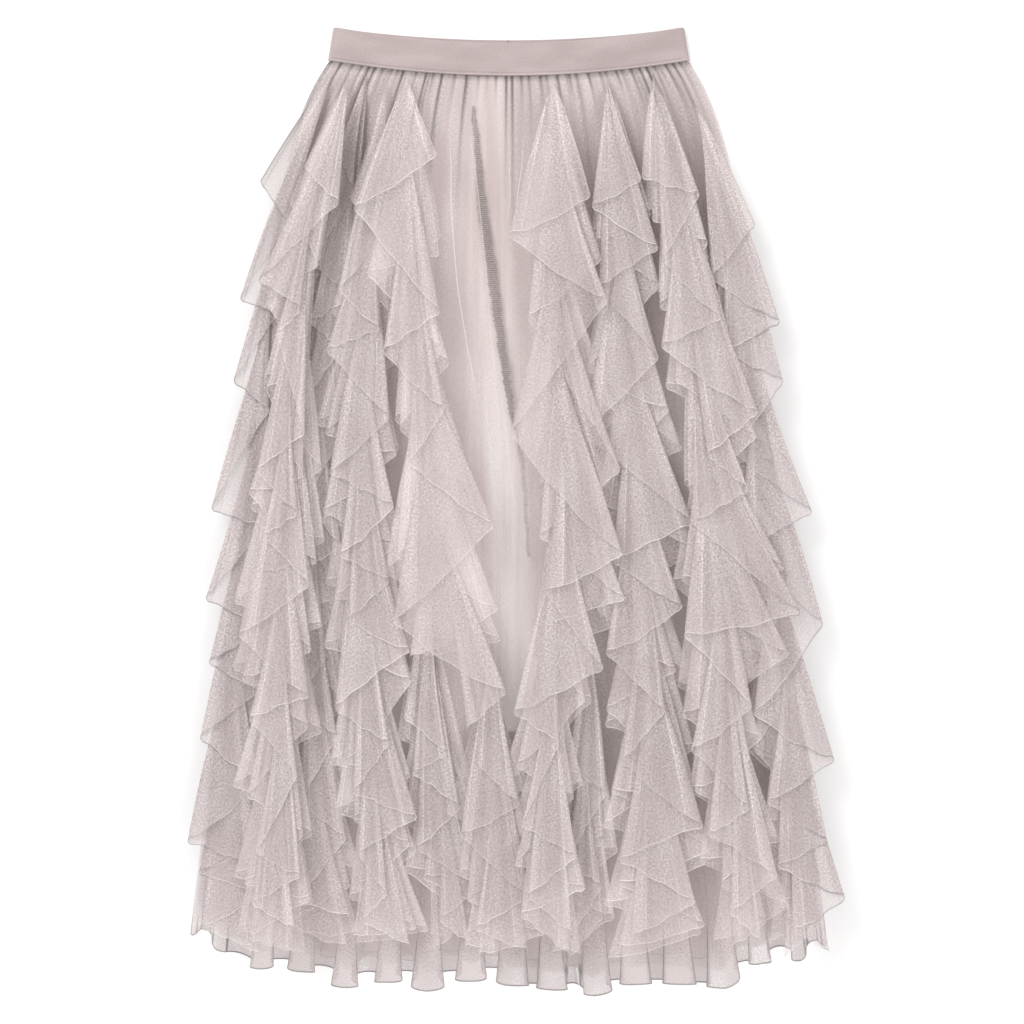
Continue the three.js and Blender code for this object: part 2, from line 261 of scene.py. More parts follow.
class Finish:
    """One material, built node by node."""

    def __init__(self, name: str) -> None:
        """Start an empty material."""
        self.material = bpy.data.materials.new(name)
        self.material.use_nodes = True
        self.tree = self.material.node_tree
        self.tree.nodes.clear()

    def node(
        self,
        kind: str,
        settings: dict[str, Any] | None = None,
        inputs: dict[Any, Any] | None = None,
        output: int | str = 0,
    ) -> Shade:
        """Add a node.

        Args:
            kind: The node's type.
            settings: The node's own properties, set first.
            inputs: Values or links by socket name or number.
            output: The socket that is handed back.

        Returns:
            The node's output.
        """
        node = self.tree.nodes.new(kind)
        for key, value in (settings or {}).items():
            setattr(node, key, value)
        for key, value in (inputs or {}).items():
            if isinstance(value, Shade):
                self.tree.links.new(value.socket, node.inputs[key])
            else:
                node.inputs[key].default_value = value
        return Shade(self, node.outputs[output])

    def map(self, name: str) -> Shade:
        """Read a UV map of the piece."""
        return self.node("ShaderNodeUVMap", {"uv_map": name})

    def split(self, at: Shade) -> tuple[Shade, Shade]:
        """Split a place on a UV map into its parts across and along."""
        across = self.node("ShaderNodeSeparateXYZ", None, {0: at})
        return across, Shade(self, across.socket.node.outputs["Y"])

    def value(self, name: str) -> Shade:
        """Read a number kept on the piece's points."""
        settings = {"attribute_type": "GEOMETRY", "attribute_name": name}
        return self.node("ShaderNodeAttribute", settings, output="Fac")

    def noise(self, at: Shade, scale: tuple[float, float], detail: float) -> Shade:
        """Take flat noise, with its own scale each way."""
        moved = self.node("ShaderNodeMapping", None, {"Vector": at, "Scale": (*scale, 1.0)})
        return self.node(
            "ShaderNodeTexNoise",
            {"noise_dimensions": "2D"},
            {"Vector": moved, "Scale": 1.0, "Detail": detail},
        )

    def mix(self, share: Any, first: Any, second: Any, blend: str = "MIX") -> Shade:
        """Mix two colours."""
        settings = {"data_type": "RGBA", "blend_type": blend}
        return self.node("ShaderNodeMix", settings, {0: share, 6: first, 7: second}, output=2)

    def grey(self, value: Shade) -> Shade:
        """Turn a number into a grey."""
        return self.node("ShaderNodeCombineColor", None, {0: value, 1: value, 2: value})

    def bump(self, height: Shade, strength: float, distance: float) -> Shade:
        """Turn a height into a normal."""
        inputs = {"Height": height, "Strength": strength, "Distance": distance}
        return self.node("ShaderNodeBump", None, inputs, output="Normal")

    def surface(self, inputs: dict[str, Any]) -> bpy.types.Material:
        """Finish the material with one Principled shader."""
        shader = self.node("ShaderNodeBsdfPrincipled", None, inputs)
        end = self.tree.nodes.new("ShaderNodeOutputMaterial")
        self.tree.links.new(shader.socket, end.inputs["Surface"])
        return self.material


@dataclass(frozen=True)
class TulleFinish:
    """Sheer net.

    Cover is the share of light that one layer stops, grain and fleck are how far the net's threads
    and specks vary it, a line is how much denser the net is on a hem, a fold or the edge of a
    turned band, the rim line is painted shade that darkens those lines at the skirt's rim, and
    cell is the size of the net's holes in millimetres.
    """

    name: str
    cover: float
    tone: tuple[float, float, float, float] = linear(208, 194, 194)
    light: tuple[float, float, float, float] = linear(243, 236, 234)
    grain: float = 0.7
    fleck: float = 0.6
    hem_line: float = 0.5
    fold_line: float = 0.34
    band_line: float = 0.17
    band_cover: float = 0.34
    rim_line_shade: float = 1.1
    cell: float = 1.5
    sheen: float = 0.2

    def material(self) -> bpy.types.Material:
        """Make the material."""
        finish = Finish(self.name)
        net = finish.map("net")
        speckle = finish.noise(net, (560, 560), 1.0)
        threads = self.threads(finish, net)
        rim = finish.value("rim")
        thin = 1.0 - 0.45 * rim
        hem = (finish.value("hem") * thin).ramp(0.25, 0.85, 1.0, 0.0)
        fold = (finish.value("fold") * thin).ramp(0.2, 0.9, 1.0, 0.0)
        turned = finish.value("turned")
        band_line = turned.size().ramp(0.15, 0.75, 1.0, 0.0)
        band = self.band_cover * turned.ramp(-0.4, 0.4, 1.0, 0.0)
        # Weave holds random patches of denser, paler net and streaks of painted light and shade
        # along fine pleats.
        weave = finish.value("weave")
        fleck = 2.2 * (speckle - 0.5)
        varied = 1.0 + self.grain * (fleck + threads - 0.35) + weave + band
        lines = (self.hem_line * hem).most(self.fold_line * fold).most(self.band_line * band_line)
        alpha = (self.cover * varied + lines) * finish.value("cover")
        pale = 0.25 + lines * 1.4 + self.fleck * fleck + 0.5 * weave
        colour = finish.mix(pale.share(), self.tone, self.light)
        # Painted shade: the darkening kept on the points, and the net's lines drawn darker at the
        # skirt's rim.
        dark = finish.value("painted_shade") + self.rim_line_shade * lines * rim
        shaded = finish.mix(1.0, colour, finish.grey(1.0 - dark), "MULTIPLY")
        return finish.surface(
            {
                "Base Color": shaded,
                "Alpha": alpha.share(),
                "Roughness": 0.82,
                "Specular IOR Level": 0.25,
                "Sheen Weight": self.sheen,
                "Sheen Roughness": 0.45,
                "Sheen Tint": linear(250, 244, 243),
            }
        )

    def threads(self, finish: Finish, net: Shade) -> Shade:
        """Draw the net's threads: 1 on a thread, 0 in a hole, in three directions."""
        across, along = finish.split(net)
        wave = 2 * math.pi / (self.cell * MM)
        half = wave / 2
        rise = wave * math.sqrt(3) / 2
        first = (across * wave).sine()
        second = (across * half + along * rise).sine()
        third = (across * half - along * rise).sine()
        return (first.most(second).most(third)).ramp(0.35, 0.95)


@dataclass(frozen=True)
class SatinFinish:
    """Soft pale satin of the lining."""

    name: str = "satin lining"

    def material(self) -> bpy.types.Material:
        """Make the material."""
        finish = Finish(self.name)
        net = finish.map("net")
        weave = finish.noise(net, (900, 300), 1.0)
        sheen = finish.noise(net, (95, 4.5), 2.0)
        # Painted sheen: the streaks along the soft folds go from the darker tone to the lighter
        # one. Painted light and shade: the upper lining gets darker tones than the lower lining.
        upper = finish.mix(sheen.ramp(0.3, 0.7), linear(207, 191, 188), linear(224, 212, 209))
        lower = finish.mix(sheen.ramp(0.3, 0.7), linear(238, 227, 224), linear(250, 244, 242))
        tone = finish.mix(finish.value("pale"), upper, lower)
        height = sheen + 0.1 * weave
        return finish.surface(
            {
                "Base Color": tone,
                "Roughness": 0.42 + 0.12 * weave,
                "Sheen Weight": 0.2,
                "Sheen Roughness": 0.4,
                "Specular IOR Level": 0.5,
                "Normal": finish.bump(height, 0.35, 0.0012),
            }
        )


@dataclass(frozen=True)
class ElasticFinish:
    """Soft woven elastic with fine ribs along it."""

    name: str = "woven elastic"
    rib: float = 0.9

    def material(self) -> bpy.types.Material:
        """Make the material."""
        finish = Finish(self.name)
        net = finish.map("net")
        _, down = finish.split(net)
        ribs = (down * (2 * math.pi / (self.rib * MM))).sine()
        speckle = finish.noise(net, (700, 900), 2.0)
        cloudy = finish.noise(net, (14, 40), 2.0)
        tone = finish.mix(
            (0.5 * speckle + 0.7 * cloudy).ramp(0.35, 0.85),
            linear(172, 157, 156),
            linear(191, 177, 176),
        )
        height = 0.35 * ribs + speckle
        return finish.surface(
            {
                "Base Color": tone,
                "Roughness": 0.62 + 0.1 * speckle,
                "Specular IOR Level": 0.35,
                "Sheen Weight": 0.25,
                "Sheen Roughness": 0.4,
                "Normal": finish.bump(height, 0.3, 0.0003),
            }
        )


@dataclass(frozen=True)
class ThreadFinish:
    """Twisted sewing thread, light or dark."""

    name: str
    light: tuple[float, float, float, float]
    dark: tuple[float, float, float, float]

    def material(self) -> bpy.types.Material:
        """Make the material."""
        finish = Finish(self.name)
        at = finish.node("ShaderNodeTexCoord", None, None, output="Object")
        fibre = finish.node(
            "ShaderNodeTexNoise", {"noise_dimensions": "3D"}, {"Vector": at, "Scale": 1600.0}
        )
        return finish.surface(
            {
                "Base Color": finish.mix(fibre.ramp(0.35, 0.65), self.dark, self.light),
                "Roughness": 0.7,
                "Normal": finish.bump(fibre, 0.4, 0.0002),
            }
        )


@dataclass(frozen=True)
class Layer:
    """One layer of tulle, and how it differs from the skirt's outline.

    Rise is its height over the skirt's side, loft and flute are its shares of the front's loft
    and of the flutes' height, and inset and short are how far it stays inside the outline and
    above the hem.
    """

    rise: float
    loft: float
    flute: float
    inset: float
    short: float


@dataclass(frozen=True)
class SkirtShape:
    """The sizes that every piece shares, the same as the frame's."""

    length: float = 874
    band_height: float = 30
    band_half: float = 164
    band_wall: float = 2.4
    band_sag: float = 13.5
    back_band_step: float = 2.7
    tulle_wall: float = 1
    seam_gap: float = 0.3
    middle_x: float = -6.5
    hip_half: float = 194
    flare: float = 0.109
    hip_curve: float = 34
    hip_fade: float = 60
    side_z: float = 1.8
    outer_rise: float = 4.4
    hem_loft: float = 18
    loft_run: float = 600
    side_fall: float = 0.75
    gather_lift: float = 1
    gather_fade: float = 90
    flute_lift: float = 6.5
    flute_start: float = 600
    flute_dip: float = 9
    seated_run: float = 60

    @property
    def band_front_z(self) -> float:
        """Height of the middle of the band's front wall."""
        return self.side_z + self.outer_rise + (self.tulle_wall - self.band_wall) / 2

    @property
    def band_round(self) -> float:
        """Radius of the band's folded ends."""
        return (self.band_front_z - self.band_wall / 2) / 2

    @property
    def band_straight(self) -> float:
        """Half of the band's straight length."""
        return self.band_half - self.band_wall / 2 - self.band_round

    def half_width(self, drop: Any) -> Any:
        """Half of the skirt's width at a drop."""
        curve = self.hip_curve * np.exp((self.band_height - drop) / self.hip_fade)
        return self.hip_half + self.flare * drop - curve

    def side_of(self, x: Any, drop: Any) -> Any:
        """Where x lies across the skirt, from -1 to 1."""
        return (x - self.middle_x) / self.half_width(drop)

    def band_dip(self, side: Any) -> Any:
        """How far the band hangs below its ends."""
        return self.band_sag * (1 - side * side)

    def waist_drop(self, x: Any) -> Any:
        """Where the pieces below the band start."""
        side = np.minimum(1, np.abs(x - self.middle_x) / self.band_straight)
        return self.band_height + self.band_dip(side) + self.seam_gap

    def loft(self, drop: Any) -> Any:
        """How far the front lofts up off the back."""
        return self.hem_loft * eased(drop, self.band_height, self.loft_run)

    def shoulder(self, side: Any, drop: Any) -> Any:
        """How a layer falls away to its folded side: sharply by the waist, softly below."""
        sharpness = lerp(18, 4, eased(drop, self.band_height, 200))
        return np.maximum(0, 1 - np.abs(side) ** sharpness) ** 0.6

    def flute_height(self, drop: Any) -> Any:
        """Height of the hem's flutes."""
        run = self.length - self.flute_start
        return self.flute_lift * eased(drop, self.flute_start, run)

    def gather_height(self, drop: Any) -> Any:
        """Height of the waist's gathers."""
        return self.gather_lift * (1 - eased(drop, self.band_height, self.gather_fade))

    def flute(self, side: Array) -> tuple[Array, Array, Array]:
        """Find the flute at each place along the hem.

        Args:
            side: Places across the skirt, from -1 to 1.

        Returns:
            The share of the way from one crest to the next, how far down the hem reaches, and
            the distance in millimetres between the crests.
        """
        crests = np.array(FLUTES, dtype=float)
        x = self.middle_x + np.clip(side, -1, 1) * self.half_width(self.length)
        found = np.clip(np.searchsorted(crests[:, 0], x, side="right") - 1, 0, len(crests) - 2)
        start, end = crests[found], crests[found + 1]
        share = (x - start[:, 0]) / (end[:, 0] - start[:, 0])
        deepest = 1.5
        uneven = np.random.default_rng(8).uniform(-0.65, 0.65, len(crests))[found]
        deep = np.random.default_rng(9).uniform(0.2, deepest, len(crests))[found]
        wave = np.cos(2 * np.pi * share)
        drop = lerp(start[:, 1], end[:, 1], share) - self.flute_dip * deep * (1 - wave) / 2
        share = share + uneven * np.sin(2 * np.pi * share) / (2 * np.pi)
        return share, drop, (end[:, 0] - start[:, 0]) * lerp(0.7, 1.0, deep / deepest)

    def ground(self, x: Any, drop: Any, lifted: Any) -> Any:
        """Height of the ground that a ruffle stands on.

        Args:
            x: Place across.
            drop: Place down.
            lifted: 0 on the seam, 1 clear of it.

        Returns:
            The height over the surface, in millimetres.
        """
        side = self.side_of(x, drop)
        sewn = (self.outer_rise + self.loft(drop)) * self.shoulder(side, drop)
        free = self.outer_rise + self.loft(drop) * (1 - self.side_fall * side**4)
        top = self.side_z + self.tulle_wall / 2
        top = top + self.flute_height(drop) + self.gather_height(drop)
        clear = np.maximum(lifted, eased(drop, self.band_height, self.seated_run))
        return top + lerp(sewn, np.maximum(sewn, free), clear)

    def place(self, x: Any, drop: Any, z: Any) -> Array:
        """Turn a place into a point in metres."""
        parts = np.broadcast_arrays(x, self.length / 2 - drop, z)
        return np.stack(parts, axis=-1) * MM


SHAPE = SkirtShape()
OUTER = Layer(rise=4.4, loft=1, flute=1, inset=0, short=0)
INNER = Layer(rise=3, loft=0.72, flute=0.8, inset=6.5, short=26)
BACK = Layer(rise=0, loft=0, flute=0, inset=2, short=12)


@dataclass
class Cloth:
    """A sheet of cloth as a grid of points, with what its finish reads."""

    name: str
    points: Array
    net: Array
    values: dict[str, Array] = field(default_factory=dict)
    ring: bool = False

    def build(self, material: bpy.types.Material) -> bpy.types.Object:
        """Make the sheet's object.

        Args:
            material: The sheet's finish.

        Returns:
            The object, at the origin.
        """
        rows, columns = self.points.shape[:2]
        numbers = np.arange(rows * columns).reshape(rows, columns)
        if self.ring:
            numbers = np.concatenate([numbers, numbers[:, :1]], axis=1)
        corners = [numbers[:-1, :-1], numbers[1:, :-1], numbers[1:, 1:], numbers[:-1, 1:]]
        quads = np.stack(corners, axis=-1).reshape(-1, 4)
        mesh = bpy.data.meshes.new(self.name)
        mesh.from_pydata(self.points.reshape(-1, 3).tolist(), [], quads.tolist())
        spots = np.empty(len(mesh.loops), dtype=np.int32)
        mesh.loops.foreach_get("vertex_index", spots)
        layer = mesh.uv_layers.new(name="net")
        layer.data.foreach_set("uv", self.net.reshape(-1, 2)[spots].astype(np.float32).ravel())
        for name, value in self.values.items():
            kept = mesh.attributes.new(name=name, type="FLOAT", domain="POINT")
            kept.data.foreach_set("value", value.astype(np.float32).ravel())
        mesh.materials.append(material)
        mesh.validate()
        mesh.shade_smooth()
        return placed(self.name, mesh)


def placed(name: str, data: Any) -> bpy.types.Object:
    """Put an object with this data in the scene, at the origin."""
    made = bpy.data.objects.new(name, data)
    bpy.context.scene.collection.objects.link(made)
    return made


def select_only(piece: bpy.types.Object) -> None:
    """Select one object and make it active."""
    bpy.ops.object.select_all(action="DESELECT")
    piece.select_set(True)
    bpy.context.view_layer.objects.active = piece


def apply_modifier(piece: bpy.types.Object, kind: str, **settings: Any) -> None:
    """Add a modifier and apply it.

    Args:
        piece: The object.
        kind: The modifier's type.
        **settings: The modifier's properties.
    """
    added = piece.modifiers.new(kind.title(), kind)
    for key, value in settings.items():
        setattr(added, key, value)
    select_only(piece)
    bpy.ops.object.modifier_apply(modifier=added.name)


def area_of(piece: bpy.types.Object) -> float:
    """Measure a mesh's area in square metres."""
    return sum(face.area for face in piece.data.polygons)


def let_light_through(piece: bpy.types.Object) -> None:
    """Let a sheer ply pass the light on, as tulle does, so that it throws no shade of its own."""
    piece.visible_shadow = False
    piece.visible_diffuse = False


def settle(piece: bpy.types.Object, slot: Slot, *nodes: str) -> None:
    """Hang a piece on the frame: its body and the solids that it stands for."""
    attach(piece, "root")
    if nodes:
        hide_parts(*nodes)
    LOG.info("%s: %d faces", piece.name, len(piece.data.polygons))


def spun(x: Array, y: Array, angle: float, across: float, along: float) -> Array:
    """Lay the net on a sheet, turned and shifted.

    Args:
        x: Places across, in metres.
        y: Places along, in metres.
        angle: How far the net is turned, in radians.
        across: Its shift across.
        along: Its shift along.

    Returns:
        The pairs of the UV map.
    """
    turned_x = x * math.cos(angle) - y * math.sin(angle) + across
    turned_y = x * math.sin(angle) + y * math.cos(angle) + along
    return np.stack([turned_x, turned_y], axis=-1)


@dataclass
class Gathers:
    """The waist's gathers: where each ridge and crease stands, unevenly, across the skirt."""

    seed: int = 5
    least: float = 5.0
    most: float = 11.5
    run_least: float = 14
    run_most: float = 100
    crease_half: float = 1.2
    creases: Array = field(init=False)
    depths: Array = field(init=False)
    runs: Array = field(init=False)

    def __post_init__(self) -> None:
        """Place the creases by seeded chance."""
        chance = np.random.default_rng(self.seed)
        spots = [-SHAPE.band_half + 2.0]
        while spots[-1] < SHAPE.band_half - self.least:
            spots.append(spots[-1] + chance.uniform(self.least, self.most))
        self.creases = np.array(spots) / SHAPE.band_half
        self.depths = chance.uniform(0.3, 1.0, len(spots))
        self.runs = lerp(self.run_least, self.run_most, chance.uniform(0, 1, len(spots)) ** 2)

    def at(self, side: Array, down: Array) -> tuple[Array, Array]:
        """Find the gather at each place.

        Args:
            side: Places across, from -1 to 1.
            down: Distances down from the waist, in millimetres.

        Returns:
            The ridge's height from 0 to 1, and how deep in a crease the place is.
        """
        found = np.clip(np.searchsorted(self.creases, side) - 1, 0, len(self.creases) - 2)
        left, right = self.creases[found], self.creases[found + 1]
        share = np.clip((side - left) / (right - left), 0, 1)
        ridge = np.abs(np.sin(np.pi * share)) ** 0.6
        depth = lerp(self.depths[found], self.depths[found + 1], share)
        run = lerp(self.runs[found], self.runs[found + 1], share)
        fade = np.exp(-((down / run) ** 1.3))
        width = (right - left) * SHAPE.band_half
        crease = np.exp(-((np.minimum(share, 1 - share) * width / self.crease_half) ** 2))
        return ridge * fade * depth, crease * fade * depth


GATHERS = Gathers()


@dataclass(frozen=True)
class PanelGrid:
    """A panel's points, with what its look is worked out from.

    Hem and lines are the distances to the hem and to the flutes' folds, and the field between them
    holds painted shade in the hollows between flutes and gathers and in a thin line under the
    band.
    """

    points: Array
    side: Array
    drop: Array
    hem: Array
    painted_shade: Array
    lines: Array


@dataclass(frozen=True)
class TullePanel:
    """A panel of tulle from the waist to the fluted hem.

    Side_from and side_to are the shares across the skirt where it starts and ends, and 0 stands
    for the slanting front seam. Tuck is how far each flute folds in under itself, as a share of
    the distance between crests, and lobe how much its crest widens. What is named shade darkens
    the net, and what is named cover makes it denser.
    """

    name: str
    layer: Layer
    held: Held
    rows: int = 70
    columns: int = 360
    side_from: float = -1.0
    side_to: float = 1.0
    flat: bool = False
    seed: int = 1
    side_fade: float = 0.0
    side_cover: float = 1.0
    tuck: float = 0.2
    phase: float = 0.0
    hollow_shade: float = 0.14
    gap_cover: float = 1.0
    hem_cover: float = 0.0
    depth_shade: float = 0.0
    seam_top: float = 0.4
    seam_low: float = 0.61
    tuck_from: float = 700
    tuck_run: float = 170
    lobe_top: float = -0.34
    lobe_low: float = 0.08
    waist_run: float = 120
    waist_cover: float = 0.9
    waist_shade: float = 0.12
    hem_from: float = 790
    hem_run: float = 50
    hem_shade: float = 0.13
    shade_from: float = 780
    shade_run: float = 80
    doubled_cover: float = 0.5
    darkest: float = 0.85
    long_folds: int = 26

    def grid(self) -> PanelGrid:
        """Work out the panel's grid."""
        share = (np.linspace(0, 1, self.rows + 1) ** 1.15)[:, None]
        across = np.linspace(0, 1, self.columns + 1)[None, :]
        seam = 2 * lerp(self.seam_top, self.seam_low, share) - 1
        gap = SHAPE.seam_gap / SHAPE.half_width(lerp(SHAPE.band_height, SHAPE.length, share))
        start = seam + gap if self.side_from == 0 else np.full_like(share, self.side_from)
        end = seam - gap if self.side_to == 0 else np.full_like(share, self.side_to)
        side = lerp(start, end, across)
        fold, hem_drop, pitch = SHAPE.flute(side.ravel() + self.phase)
        fold, pitch = fold.reshape(side.shape), pitch.reshape(side.shape)
        wave = np.cos(2 * np.pi * fold)
        hem_drop = hem_drop.reshape(side.shape)
        inset = self.layer.inset
        waist_x = SHAPE.middle_x + side * (SHAPE.half_width(SHAPE.band_height) - inset)
        waist = SHAPE.waist_drop(waist_x)
        drop = lerp(waist, hem_drop - self.layer.short, share)
        half = SHAPE.half_width(lerp(SHAPE.band_height, SHAPE.length, share)) - inset
        open_ends = (1 - side**8) * smooth(across * 16) * smooth((1 - across) * 16)
        grown = np.clip((drop - self.tuck_from) / self.tuck_run, 0, 1)
        lobe = lerp(self.lobe_top, self.lobe_low, grown) * np.sin(2 * np.pi * fold)
        tuck = grown * pitch * (self.tuck * np.sin(4 * np.pi * fold) + (self.tuck > 0) * lobe)
        x = SHAPE.middle_x + side * half + tuck * open_ends
        ridge, crease = GATHERS.at(side, drop - waist)
        fine = self.creases(side, drop)
        if self.flat:
            z = 0.5 + 0.12 * ridge + 0.1 * fine
        else:
            height = self.layer.rise + self.layer.loft * SHAPE.loft(drop)
            height = height * SHAPE.shoulder(side, drop)
            flute = self.layer.flute * SHAPE.flute_height(drop) * wave * (1 - side**8)
            lift = 2.0 * ridge * (1 if self.layer is OUTER else 0.3)
            z = SHAPE.side_z + height + flute + lift + fine * (1 - side**8)
        # Painted shade in the flutes' hollows, in the gathers' creases and in a thin line just
        # under the band.
        hollow_shade = self.hollow_shade * (1 - wave) / 2 * eased(drop, 520, 280)
        sewn = np.exp(-(((drop - waist) / 1.5) ** 2))
        painted_shade = np.clip(hollow_shade + self.darkest * crease + 0.5 * sewn, 0, self.darkest)
        turns = np.array(FLUTE_TURNS)[:, None, None]
        lines = np.abs(fold - turns).min(axis=0) * pitch + 3 * (1 - eased(drop, 740, 90))
        hem = (1 - share) * (hem_drop - waist)
        return PanelGrid(SHAPE.place(x, drop, z), side, drop, hem, painted_shade, lines)

    def turned(self, x: Array, drop: Array) -> tuple[Array, Array]:
        """Find the turned bands of net by the front seam.

        Args:
            x: Places across, in millimetres.
            drop: Places down, in millimetres.

        Returns:
            The distance to the nearest band's edge, below 0 inside the band and steep where the
            band fades out, and how much of a band lies at each place.
        """
        nearest, doubled = np.full_like(x, FAR), np.zeros_like(x)
        for bounds in TURNED_BANDS:
            left, right = (follow(line, drop) for line in bounds)
            start, end = bounds[0][0][1], bounds[0][-1][1]
            shown = eased(drop, start, 50) * smooth((end - drop) / 90)
            edge = np.maximum(left - x, x - right)
            doubled = np.maximum(doubled, shown * smooth(0.5 - edge / 2))
            edge = edge / np.maximum(shown, 0.02)
            nearest = np.where(np.abs(edge) < np.abs(nearest), edge, nearest)
        return nearest, doubled

    def creases(self, side: Array, drop: Array) -> Array:
        """Long soft folds that fan out down the panel, in millimetres."""
        chance = np.random.default_rng(self.seed)
        height = np.zeros_like(side)
        for _ in range(self.long_folds):
            centre = chance.uniform(-0.95, 0.95)
            width = chance.uniform(0.012, 0.04)
            top = chance.uniform(60, 420)
            low = top + chance.uniform(160, 420)
            size = chance.uniform(0.3, 0.9)
            run = eased(drop, top, 90) * (1 - eased(drop, low, 120))
            height += size * np.exp(-(((side - centre) / width) ** 2)) * run
        return height

    def build(
        self,
        finish: bpy.types.Material,
        node: str,
        trims: tuple[bpy.types.Object, ...] = (),
    ) -> bpy.types.Object:
        """Make the panel and hang it on the frame.

        Args:
            finish: Its material.
            node: The solid that it stands for.
            trims: The sewing on it; not used.

        Returns:
            The panel's object.
        """
        grid = self.grid()
        side, drop, hem, painted_shade = grid.side, grid.drop, grid.hem, grid.painted_shade
        edge = (1 - np.abs(side)) * SHAPE.half_width(drop)
        cover = np.ones_like(side)
        if self.side_fade:
            cover = lerp(self.side_cover, 1.0, smooth(edge / self.side_fade))
            cover = cover * lerp(self.side_cover, 1.0, smooth(hem / (2 * self.side_fade)))
        x, y = grid.points[..., 0], grid.points[..., 1]
        inside = np.exp(-(((x / MM - gap_at(drop, "x")) / gap_at(drop, "half")) ** 4))
        inside = inside * (1 - eased(drop, 636, 10))
        cover = cover * lerp(1.0, self.gap_cover, inside)
        top = 1 - eased(drop, SHAPE.band_height, self.waist_run)
        low = eased(drop, self.hem_from, self.hem_run)
        cover = cover * (1 + self.waist_cover * top + self.hem_cover * low) + painted_shade * 0.8
        turned, doubled = self.turned(x / MM, drop)
        cover = cover * (1 + self.doubled_cover * doubled)
        # Painted shade near the waist, deep under the ruffles and toward the hem, added to that of
        # the hollows and creases.
        deep = eased(drop, 260, 240) * (1 - low) * (1 - inside)
        shade = self.waist_shade * top + self.depth_shade * deep
        shade = shade + self.hem_shade * eased(drop, self.shade_from, self.shade_run)
        painted_shade = np.clip(painted_shade + shade, 0, self.darkest)
        # Light and dark streaks down the panel, strongest by the waist: painted light and shade of
        # the fine pleats that fan out from the gathers.
        pleat_light_and_shade = cloudy(side * 60, drop / 190, self.seed) * (0.7 + 0.5 * top)
        patches = cloudy(x / 0.022, y / 0.022, self.seed + 9) * 0.4
        cloth = Cloth(
            self.name,
            grid.points,
            spun(x, y, 0.1 * self.seed, 0.37 * self.seed, 0.11 * self.seed),
            {
                "hem": hem,
                "fold": np.where(self.flat, FAR, np.minimum(edge, grid.lines)),
                "painted_shade": painted_shade,
                "cover": cover,
                "weave": pleat_light_and_shade + patches,
                "rim": eased(drop, 760, 70),
                "turned": turned,
            },
        )
        piece = cloth.build(finish)
        settle(piece, Slot.TULLE, node)
        if not self.flat:
            let_light_through(piece)
        wide = 2 * SHAPE.half_width(SHAPE.length) * MM * (abs(side[-1, -1] - side[-1, 0]) / 2)
        long = (SHAPE.length - SHAPE.band_height) * MM
        round(min(0.98 * wide * long, area_of(piece)), 4)
        return piece


@dataclass(frozen=True)
class Fold:
    """One fold of a ruffle: its tip, its place on the seam and the roundness of its turn."""

    x: float
    drop: float
    sewn_x: float
    sewn_drop: float
    turn: float


@dataclass(frozen=True)
class Face:
    """The cloth between two folds, as grids."""

    points: Array
    net: Array
    values: dict[str, Array]


